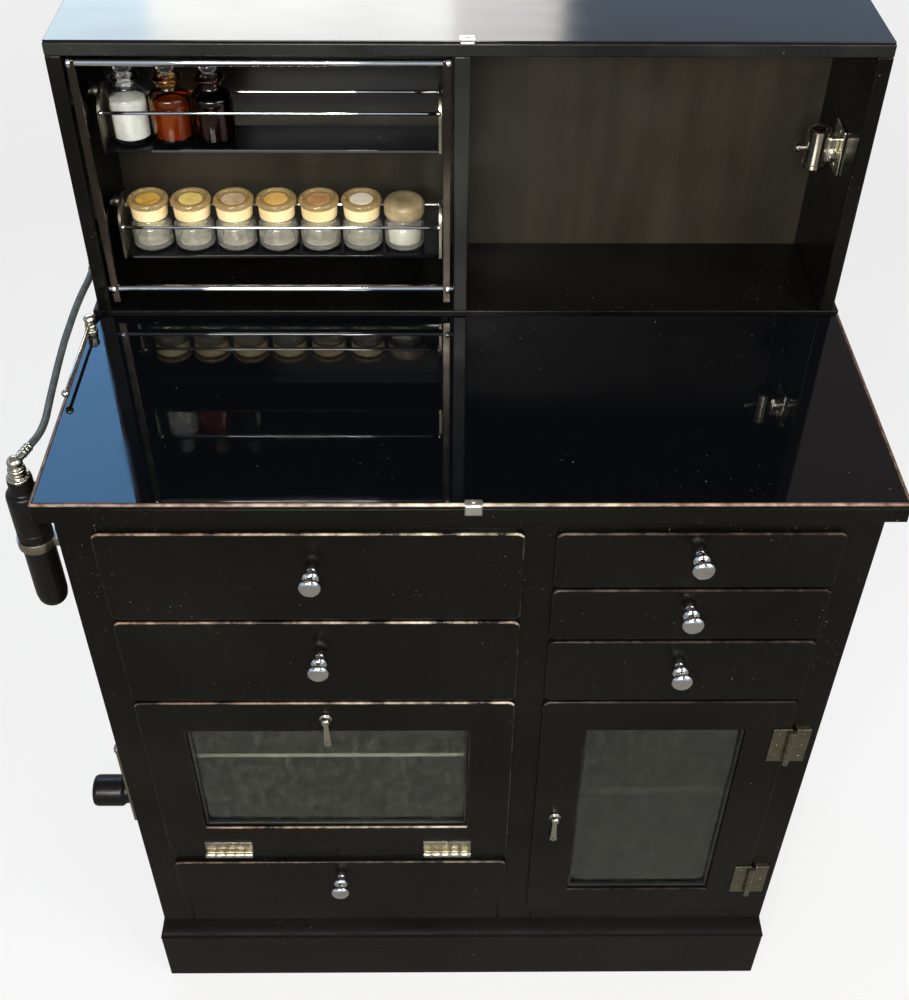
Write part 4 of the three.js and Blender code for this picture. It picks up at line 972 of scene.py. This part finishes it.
def dress_rack_frame():
    """Two flat bars with a plate behind each, the arms that carry the trays, and two rods across."""
    low, high = box_of("rack_frame")
    tilt = joint_place("rack_tilt")
    x0, x1 = low.x + RACK_GAP, high.x - RACK_GAP
    bar_back = low.y + BAR_DEPTH
    plate_back = bar_back + RACK_PLATE_DEPTH
    bars = []
    for bar in (x0, x1 - BAR_WIDTH):
        bars.append(board((bar, low.y, low.z), (bar + BAR_WIDTH, bar_back, high.z), 0.9 * MM))
    for plate in (x0, x1 - RACK_PLATE):
        end = plate + RACK_PLATE
        bars.append(board((plate, bar_back - 0.2 * MM, low.z), (end, plate_back, high.z), PLATE_EASE))
        for tray in TRAY_ROD_RISE:
            pivot = joint_place(f"{tray}_swing")
            arm_low = (plate, bar_back, pivot.z - ARM_RADIUS)
            arm_high = (end, pivot.y + ARM_RADIUS, pivot.z + ARM_RADIUS)
            bars.append(round_ended(arm_low, arm_high, 1, pivot.y, ARM_RADIUS, 8))
    make_piece("rack_bars", "rack", BAR_NICKEL_PAINTED_DARK, "rack_frame", *bars)
    top = high.z - RACK_ROD
    rods = [across(x0, x1, tilt.y, top, RACK_ROD), across(low.x, high.x, tilt.y, tilt.z, RACK_ROD)]
    for collar in (x0 + 1 * MM, x1 - COLLAR - 1 * MM):
        for level in (top, tilt.z):
            rods.append(across(collar, collar + COLLAR, tilt.y, level, RACK_ROD * 1.5))
    make_piece("rack_rods", "rack", ROD_CHROME, "rack_frame", *rods)


def dress_tray(node):
    """A glass shelf between two round-topped ends that hang on pins, with a rod along each side."""
    low, high = box_of(node)
    pivot = joint_place(f"{node}_swing")
    shelf = pivot.z - TRAY_PIVOT_RISE
    x0, x1 = low.x + PIN_REACH, high.x - PIN_REACH
    inner0, inner1 = x0 + TRAY_END, x1 - TRAY_END
    glass = board((inner0, low.y, shelf - TRAY_SHELF), (inner1, high.y, shelf), GLASS_EASE)
    make_piece(f"{node}_shelf", node, BLACK_GLASS, node, glass)
    half = (high.y - low.y) / 2
    ends = []
    for end in (x0, inner1):
        end_high = (end + TRAY_END, high.y, high.z)
        ends.append(round_ended((end, low.y, low.z), end_high, 2, pivot.z, half, 12))
    for side, inner, toward in ((low.x, x0 + 1 * MM, 1), (high.x, x1 - 1 * MM, -1)):
        ends += [
            across(side, inner, pivot.y, pivot.z, PIN_RADIUS),
            across(side + 2.8 * MM * toward, inner, pivot.y, pivot.z, PIN_RADIUS * 2),
            across(inner, inner + 2.4 * MM * toward, pivot.y, pivot.z, PIN_RADIUS * 1.6, 0.8 * MM),
        ]
    make_piece(f"{node}_ends", node, OLD_NICKEL, node, *ends)
    level = shelf + TRAY_ROD_RISE[node]
    rods = []
    for y in (low.y + 3 * MM, high.y - 3 * MM):
        rods.append(across(x0 + 1 * MM, x1 - 1 * MM, y, level, TRAY_ROD))
        rods += [ball((end, y, level), TRAY_ROD_BALL) for end in (inner0, inner1)]
    make_piece(f"{node}_rods", node, ROD_CHROME, node, *rods, slot="nickel")


# Bottles and jars: a wall's profile runs up outside to the lip, and then back down inside

BOTTLE_WALL = eased(2.2, [
    (0, 0.6), (19, 0.2), (22.4, 3), (22.4, 50), (13, 60), (12.6, 66), (16.5, 68.6), (16.5, 71.4), (12, 72),
]) + eased(1.6, [(9.6, 71.6), (9.4, 60), (19.8, 49), (19.8, 5), (0, 3.6)])
BOTTLE_STOPPER = eased(1.2, [
    (0, 61), (8.6, 61.5), (9.2, 72), (5, 73.5), (5, 75), (10, 79), (9.6, 85), (6, 87.6), (0, 87.8),
])
JAR_WALL = eased(2.2, [
    (0, 0.4), (20, 0.2), (23.3, 3), (23.3, 27), (19.5, 32), (19.5, 36), (17.5, 37),
]) + eased(1.6, [(16.2, 36.6), (16, 31), (19.6, 26), (19.4, 7), (0, 5)])
JAR_STOPPER = eased(0.8, [(0, 28), (15.2, 28.4), (15.6, 37.4), (20.4, 37.6), (21, 51), (0, 51.4)])
# A thin pale disc on the jar's floor, a painted highlight
JAR_HIGHLIGHT_DISC = eased(0.4, [(0, 5.4), (18.6, 7.4), (18.2, 8.6), (0, 7)])
JAR_LID = eased(1.2, [
    (0, 51.8), (20.5, 52), (23.4, 54), (23.4, 57.5), (21.8, 59.7), (18.4, 59.9), (16.8, 57.2), (0, 56),
])
LID_DISC = eased(0.3, [(0, 56.1), (13.6, 57), (13, 57.7), (0, 57)])
POWDER_FILL = eased(1.4, [(0, 5.4), (17, 6), (19, 8), (19, 24.5), (17, 26.5), (0, 27.5)])
HORN_LID = eased(1.6, [
    (0, 33), (15.4, 33.2), (15.8, 37.4), (21.4, 37.6), (23.4, 41), (23.4, 53), (20.5, 57), (12, 59.4),
    (0, 60),
])

# Each bottle: its glass, what is in it and how high that stands in millimetres
BOTTLES = [(CLEAR_GLASS, POWDER, 46), (AMBER_GLASS, LIQUID, 40), (DARK_GLASS, LIQUID, 30)]
LID_STAINS = [
    ((0.5, 0.26, 0.03), (0.92, 0.6, 0.12)),
    ((0.8, 0.52, 0.1), (0.99, 0.82, 0.3)),
    ((0.48, 0.31, 0.17), (0.82, 0.62, 0.42)),
    ((0.7, 0.36, 0.06), (0.98, 0.66, 0.2)),
    ((0.42, 0.2, 0.07), (0.72, 0.42, 0.19)),
    ((0.8, 0.71, 0.52), (0.97, 0.93, 0.8)),
]


def dress_vessel(node, tray, look, wall, *contents):
    """A hollow glass vessel and what goes with it: the name, profile and look of each."""
    foot = foot_of(node)
    make_piece(f"{node}_glass", tray, look, node, turned(wall, foot), sharp=70)
    for name, profile, content in contents:
        make_piece(f"{node}_{name}", tray, content, None, turned(profile, foot), sharp=70, slot=look[1])


def dress_bottles():
    for number, (glass, filling, level) in enumerate(BOTTLES, 1):
        fill = eased(1, [(0, 3.9), (19.5, 5.2), (19.5, level), (17, level + 1.4), (0, level + 2.6)])
        dress_vessel(
            f"bottle_{number}", "upper_tray", glass, BOTTLE_WALL,
            ("filling", fill, filling), ("stopper", BOTTLE_STOPPER, CLEAR_GLASS),
        )


def dress_jars():
    """Jars with a ground stopper and a stained glass lid; the last is full of powder under a horn lid."""
    for number, stain in enumerate(LID_STAINS, 1):
        dress_vessel(
            f"jar_{number}", "lower_tray", JAR_GLASS_MILKY_HIGHLIGHT, JAR_WALL,
            ("stopper", JAR_STOPPER, CREAM),
            # A pale disc on the jar's floor, a painted highlight of the light its base catches
            ("residue", JAR_HIGHLIGHT_DISC, BASE_HIGHLIGHT),
            ("lid", JAR_LID, LID_GLASS),
            ("lid_disc", LID_DISC, grainy(f"lid_stain_{number}", *stain, 70, 0.4)),
        )
    dress_vessel(
        f"jar_{len(LID_STAINS) + 1}", "lower_tray", JAR_GLASS_MILKY_HIGHLIGHT, JAR_WALL,
        ("powder", POWDER_FILL, POWDER), ("lid", HORN_LID, HORN),
    )


# Fittings

# How far the screws of most wall plates lie from the plates' ends
SCREW_EDGE = 6 * MM

SOCKET_TUBE = scaled([
    (7, 0.4), (7.6, 0), (12.4, 0), (13, 0.8), (13, 5), (12.3, 5.6), (12.3, 38.4), (13, 39), (13, 43.2),
    (12.4, 44), (7.6, 44), (7, 43.6), (7, 0.4),
])
SOCKET_PLATE = 3 * MM
SOCKET_REACH = 25 * MM
SOCKET_TUBE_HALF = 22 * MM
SOCKET_LUG = 8 * MM
SOCKET_LUG_HALF = 15 * MM
SOCKET_NUT = eased(0.8, [(0, 0), (6, 0), (6, 3), (0, 4.5)])
THUMBSCREW = eased(0.6, [(0, 0), (2.4, 0), (2.4, 10.4), (3.2, 11), (5, 11.6), (5, 14.6), (3.6, 16), (0, 16)])


def dress_rod_socket():
    """A tube that a rod slips into, its lug and wall plate, and the thumbscrew that clamps the rod."""
    low, high = box_of("rod_socket")
    bore = joint_place("thumbscrew_turn")
    x, y, z = high.x - SOCKET_REACH, bore.y, bore.z
    plate = high.x - SOCKET_PLATE
    lug_low = (x + 9.5 * MM, y - SOCKET_LUG, z - SOCKET_LUG_HALF)
    make_piece(
        "rod_socket_clamp", "cabinet", NICKEL, "rod_socket",
        turned(SOCKET_TUBE, (x, y, z - SOCKET_TUBE_HALF)),
        board(lug_low, (high.x - 1 * MM, y + SOCKET_LUG, z + SOCKET_LUG_HALF), 3 * MM),
        board((plate, low.y, low.z), high, 1.2 * MM),
        screw((plate, y, low.z + SCREW_EDGE), LEFT, 4),
        screw((plate, y, high.z - SCREW_EDGE), LEFT, 4),
        turned(SOCKET_NUT, (x + 18 * MM, y - SOCKET_LUG, z - 5 * MM), FORWARD, 24),
    )
    node = "rod_thumbscrew"
    turning = turned(THUMBSCREW, (box_of(node)[1].x, y, z), LEFT)
    make_piece("rod_thumbscrew_turned", node, NICKEL, node, turning, sharp=50)


# The hose's route from the outlet to the hand-piece, in millimetres, with its depth from the front edge
HOSE_ROUTE = [
    (-437, 372.5, 987), (-437.4, 362, 986), (-438.6, 352, 984.4), (-441.2, 337, 982), (-443.6, 322, 979),
    (-446, 300, 975), (-447.4, 281, 971.6), (-448.8, 262, 968), (-449.4, 243, 964.6), (-449.6, 220, 960.8),
    (-449.2, 196, 957.4), (-448.4, 174, 955.2), (-447, 154, 954.4), (-445.4, 138, 955.2),
    (-444.4, 122, 957.2), (-444.4, 108, 959.4), (-446.2, 96.5, 960.6), (-449.4, 86.5, 960.8),
]
HOSE_POINTS = [Vector((x * MM, y * MM - FRONT_EDGE, z * MM)) for x, y, z in HOSE_ROUTE]
HOSE_DIAMETER = 8 * MM


def dress_hose(tool):
    curve = bpy.data.curves.new("spray_hose", "CURVE")
    curve.dimensions = "3D"
    curve.bevel_depth = HOSE_DIAMETER / 2
    curve.bevel_resolution = 5
    curve.use_fill_caps = True
    curve.resolution_u = 8
    spline = curve.splines.new("BEZIER")
    spline.bezier_points.add(len(HOSE_POINTS) - 1)
    for point, place in zip(spline.bezier_points, HOSE_POINTS):
        point.co = place
        point.handle_left_type = point.handle_right_type = "AUTO"
    material, slot = RUBBER
    curve.materials.append(material)
    hose = add_object("spray_hose", curve)
    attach(hose, "cabinet")
    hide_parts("hose")


@part
def barbs(shape, start, end, shares, length, radius, toward):
    """Rings on a spigot that grip the hose."""
    for share in shares:
        place = start.lerp(end, share)
        rod(place, place + toward * length, radius)(shape)


HANDPIECE_AXIS = (-458 * MM, 60 * MM - FRONT_EDGE)
HANDPIECE_ELBOW = 202 * MM
HANDPIECE_GRIP = eased(3, [
    (0, 0), (10, 1.5), (15.4, 8), (17, 18), (17, 102.2), (18.5, 102.4), (18.5, 112), (17.8, 113),
    (17.8, 116), (18.5, 117), (18.5, 160), (17.4, 164), (13, 166.5), (13, 181.5), (12.2, 183), (0, 183.2),
])
HANDPIECE_HEAD = eased(1, [
    (0, 183), (12.6, 183.2), (12.6, 184.4), (11.4, 185.6), (8.5, 186.4), (8.5, 190), (9.3, 191),
    (9.3, 194.5), (8.5, 195.5), (8.5, 198), (0, 198),
])
HOLDER_RING_HEIGHT = 12
HOLDER_RING = scaled([
    (17.75, 0.5), (18.2, 0), (19.9, 0), (20.25, 0.6), (20.25, 11.4), (19.9, HOLDER_RING_HEIGHT),
    (18.2, HOLDER_RING_HEIGHT), (17.75, 11.5), (17.75, 0.5),
])
HOLDER_PLATE = 4 * MM


def dress_handpiece():
    """The black grip, the plated head with its elbow, and the ring on the cabinet's side that holds them."""
    x, y = HANDPIECE_AXIS
    node = "handpiece"
    foot = Vector((x, y, box_of(node)[0].z))
    elbow = foot + UP * HANDPIECE_ELBOW
    meet = HOSE_POINTS[-1]
    toward = (meet - elbow).normalized()
    make_piece("handpiece_grip", "cabinet", EBONITE, node, turned(HANDPIECE_GRIP, foot), sharp=50)
    head = make_piece(
        "handpiece_head", "cabinet", NICKEL, node,
        turned(HANDPIECE_HEAD, foot),
        ball(elbow, 8 * MM),
        rod(elbow, meet - toward * 0.3 * MM, 4.5 * MM),
        barbs(elbow, meet, (0.5, 0.68, 0.86), 2.4 * MM, 5.2 * MM, toward),
        sharp=50,
    )
    node = "handpiece_holder"
    low, high = box_of(node)
    height = HOLDER_RING_HEIGHT * MM
    level = (low.z + high.z - height) / 2
    plate = high.x - HOLDER_PLATE
    make_piece(
        "handpiece_ring", "cabinet", OLD_NICKEL, node,
        turned(HOLDER_RING, (x, y, level)),
        board((x + 19 * MM, y - 6 * MM, level), (plate + 1 * MM, y + 6 * MM, level + height), 1 * MM),
        board((plate, y - 15 * MM, low.z), (high.x, y + 15 * MM, high.z), 1.2 * MM),
        screw((plate, y, low.z + SCREW_EDGE), LEFT, 3.4),
        screw((plate, y, high.z - SCREW_EDGE), LEFT, 3.4),
    )
    return [head]


OUTLET_CENTRE = Vector((-437 * MM, 388 * MM - FRONT_EDGE, 987.5 * MM))
OUTLET_FLANGE = eased(0.8, [(0, 0), (11, 0), (11, 2.6), (9.5, 4), (6, 4.4), (6, 12), (0, 12)])


def dress_outlet():
    node = "hose_outlet"
    tip = HOSE_POINTS[0] + Vector((0, 0.5 * MM, 0.4 * MM))
    make_piece(
        "hose_outlet_elbow", "cabinet", NICKEL, node,
        turned(OUTLET_FLANGE, (box_of(node)[1].x, OUTLET_CENTRE.y, OUTLET_CENTRE.z), LEFT),
        ball(OUTLET_CENTRE, 7.4 * MM),
        rod(OUTLET_CENTRE, tip, 4.5 * MM),
        barbs(OUTLET_CENTRE, tip, (0.62, 0.8), 1.6 * MM, 5.1 * MM, FORWARD),
        sharp=50,
    )


VALVE_POST = eased(0.6, [(0, 0), (7.4, 0), (7.4, 2), (6.4, 3), (5, 3.4), (5, 6), (0, 6)])
VALVE_HUB = eased(0.8, [
    (0, 0), (6.5, 0), (6.5, 2.2), (5.8, 3), (5.8, 8), (6.5, 9), (6.5, 11), (4.4, 14), (0, 15),
])


def dress_valve():
    node = "valve_post"
    make_piece("valve_foot", "cabinet", NICKEL, node, turned(VALVE_POST, foot_of(node)), sharp=50)
    node = "valve_lever"
    low = box_of(node)[0]
    turn = joint_place("valve_lever_turn")
    tip = (turn.x, low.y + 4.5 * MM, turn.z)
    hub = turned(VALVE_HUB, (turn.x, turn.y, low.z))
    make_piece(
        "valve_lever_arm", node, NICKEL, node, hub, rod(turn, tip, 1.8 * MM), ball(tip, 4.4 * MM), sharp=50
    )


REGULATOR_PLATE = 4 * MM
REGULATOR_STUD = eased(1, [(0, -1), (7, -1), (7, 3.4), (5.6, 6), (0, 8)])
REGULATOR_GRIP = eased(1.6, [
    (0, 0), (15.5, 0), (16.5, 2), (16.5, 5), (20, 9), (20, 41), (18.4, 45), (14, 46), (0, 45.4),
])


def dress_regulator():
    low, high = box_of("regulator_plate")
    y = (low.y + high.y) / 2
    face = high.x - REGULATOR_PLATE
    make_piece(
        "regulator_back_plate", "cabinet", OLD_NICKEL, "regulator_plate",
        board((face, low.y, low.z), high, 1.4 * MM),
        screw((face, y, low.z + 10 * MM), LEFT, 3.6),
        screw((face, y, high.z - SCREW_EDGE), LEFT, 3.6),
        turned(REGULATOR_STUD, (face, y, high.z - 20 * MM), LEFT),
    )
    node = "regulator_knob"
    turn = joint_place("regulator_turn")
    grip = turned(REGULATOR_GRIP, (box_of(node)[1].x, turn.y, turn.z), LEFT, 64)
    make_piece("regulator_grip", node, EBONITE, node, grip, sharp=50)


# The stage: camera, light, floor and background

CAMERA_PLACE = Vector((-29.06 * MM, -926.55 * MM - FRONT_EDGE, 1819.68 * MM))
CAMERA_PITCH = math.radians(42.692)
CAMERA_YAW = math.radians(0.760)
CAMERA_ROLL = math.radians(-0.463)
FOCAL_SHARE = 1.29779
SENSOR = 36.0
AMBIENT = {"Color": (1, 0.985, 0.96, 1), "Strength": 0.5}
BACKGROUND_WHITE = (0.93, 0.935, 0.94, 1)
ROOM_MIRRORED = ((0.36, (0.46, 0.58, 0.76)), (0.5, (0.25, 0.215, 0.205)))
FLOOR_WHITE = (0.9, 0.9, 0.905, 1)
FLOOR_MIRRORED = (0.26, 0.245, 0.22, 1)
FLOOR_SIZE = 60.0

# The share of plain white that the camera sees in the floor near the cabinet; it grows to all of it between
# these two distances
FLOOR_SHARE = 0.75
FLOOR_FADE = (2.2, 5.0)

# Each lamp: its place, what it points at, its width and height, its power and its colour
LAMPS = {
    "key": ((-0.65, -2.9, 2.3), (0, 0, 0.95), (1.5, 0.8), 94, (1, 0.97, 0.92)),
    "flash": ((0.02, -1.45, 2.05), (0, 0, 0.9), (0.16, 0.16), 9, (1, 0.99, 0.95)),
    "fill": ((2.3, -1.6, 2.6), (0, 0, 0.4), (1.8, 1.8), 42, (1, 0.98, 0.95)),
    "sky_left": ((-1.55, 2.0, 2.72), (-1.4, 0, 2.6), (1.0, 0.9), 14.4, (0.19, 0.51, 1)),
    "sky_back_left": ((-1.16, 2.0, 2.05), (-1.16, 0, 2.0), (0.82, 0.4), 5.2, (0.74, 0.91, 1)),
    "sky_back_middle": ((-0.375, 2.0, 2.05), (-0.375, 0, 2.0), (0.75, 0.4), 5.3, (1, 0.99, 0.94)),
    "sky_back_right": ((0.135, 2.0, 2.05), (0.135, 0, 2.0), (0.27, 0.4), 1.3, (0.98, 0.93, 0.86)),
}


def set_camera():
    place = Matrix.Translation(CAMERA_PLACE)
    for angle, axis in ((-CAMERA_YAW, "Z"), (math.pi / 2 - CAMERA_PITCH, "X"), (-CAMERA_ROLL, "Z")):
        place = place @ Matrix.Rotation(angle, 4, axis)
    data = bpy.data.cameras.new("photo_view")
    data.sensor_width = SENSOR
    data.lens = FOCAL_SHARE * SENSOR
    camera = add_object("photo_view", data)
    camera.matrix_world = place
    bpy.context.scene.camera = camera


def set_world():
    """Soft light from all round; the camera sees white, and polished surfaces mirror a dim room."""
    world = bpy.data.worlds.new("studio")
    bpy.context.scene.world = world
    world.use_nodes = True
    world.node_tree.nodes.clear()
    studio = Nodes(world.node_tree)
    ray = studio.node("TexCoord").outputs["Generated"]
    height = studio.node("SeparateXYZ", {0: ray}).outputs["Z"]
    room = {"Color": studio.ramp(height, *ROOM_MIRRORED)}
    shaders = [studio.node("Background", inputs) for inputs in (AMBIENT, room)]
    shaders.append(studio.node("Background", {"Color": BACKGROUND_WHITE}))
    studio.node("OutputWorld", {"Surface": studio.by_ray(*shaders)})


def set_floor():
    """A pale floor that keeps the shadow and fades to white with distance."""
    shape = bmesh.new()
    bmesh.ops.create_grid(shape, x_segments=1, y_segments=1, size=FLOOR_SIZE / 2)
    mesh = bpy.data.meshes.new("pale_floor")
    shape.to_mesh(mesh)
    shape.free()
    finish = Finish("pale_floor")
    color = finish.ramp(finish.noise(3, 3.0), (0.3, (0.88, 0.88, 0.885)), (0.7, (0.91, 0.91, 0.915)))
    finish.set(Base_Color=color, Roughness=0.9, Specular_IOR_Level=0.1)
    white, mirrored = [
        finish.node("Emission", {"Color": tone}) for tone in (FLOOR_WHITE, FLOOR_MIRRORED)
    ]
    away = finish.node("VectorMath", {0: finish.place}, operation="LENGTH").outputs["Value"]
    share = finish.span(away, FLOOR_SHARE, 1, *FLOOR_FADE)
    seen = finish.node("MixShader", {0: share, 1: finish.shader.outputs[0], 2: white.outputs[0]})
    surface = finish.by_ray(finish.shader, mirrored, seen)
    finish.fill(finish.tree.nodes["Material Output"], {"Surface": surface})
    mesh.materials.append(finish.material)
    add_object("pale_floor", mesh)


def set_lamps():
    for name, (place, target, size, power, color) in LAMPS.items():
        data = bpy.data.lights.new(name, "AREA")
        data.shape = "RECTANGLE"
        data.size, data.size_y = size
        data.energy = power
        data.color = color
        turn = (Vector(place) - Vector(target)).to_track_quat("Z", "Y").to_matrix().to_4x4()
        add_object(name, data).matrix_world = Matrix.Translation(place) @ turn


set_camera()
dress_hose(dress_handpiece())
dress_plinth()
dress_face_frame()
dress_worktop()
dress_hutch()
dress_clips()
dress_inside()
for drawer in DRAWERS:
    dress_drawer(drawer)
    dress_knob(drawer)
for door in DOOR_GLASS:
    dress_door(door)
for door, latch in (("drop_door", "drop_latch"), ("side_door", "side_latch")):
    dress_latch(door, latch)
for side in ("left", "right"):
    dress_drop_hinge(side)
for place in ("upper", "lower"):
    dress_side_hinge(place)
dress_rack_frame()
for tray in TRAY_ROD_RISE:
    dress_tray(tray)
dress_bottles()
dress_jars()
dress_rod_socket()
dress_outlet()
dress_valve()
dress_regulator()
set_world()
set_floor()
set_lamps()
bpy.context.scene.view_settings.view_transform = "Standard"
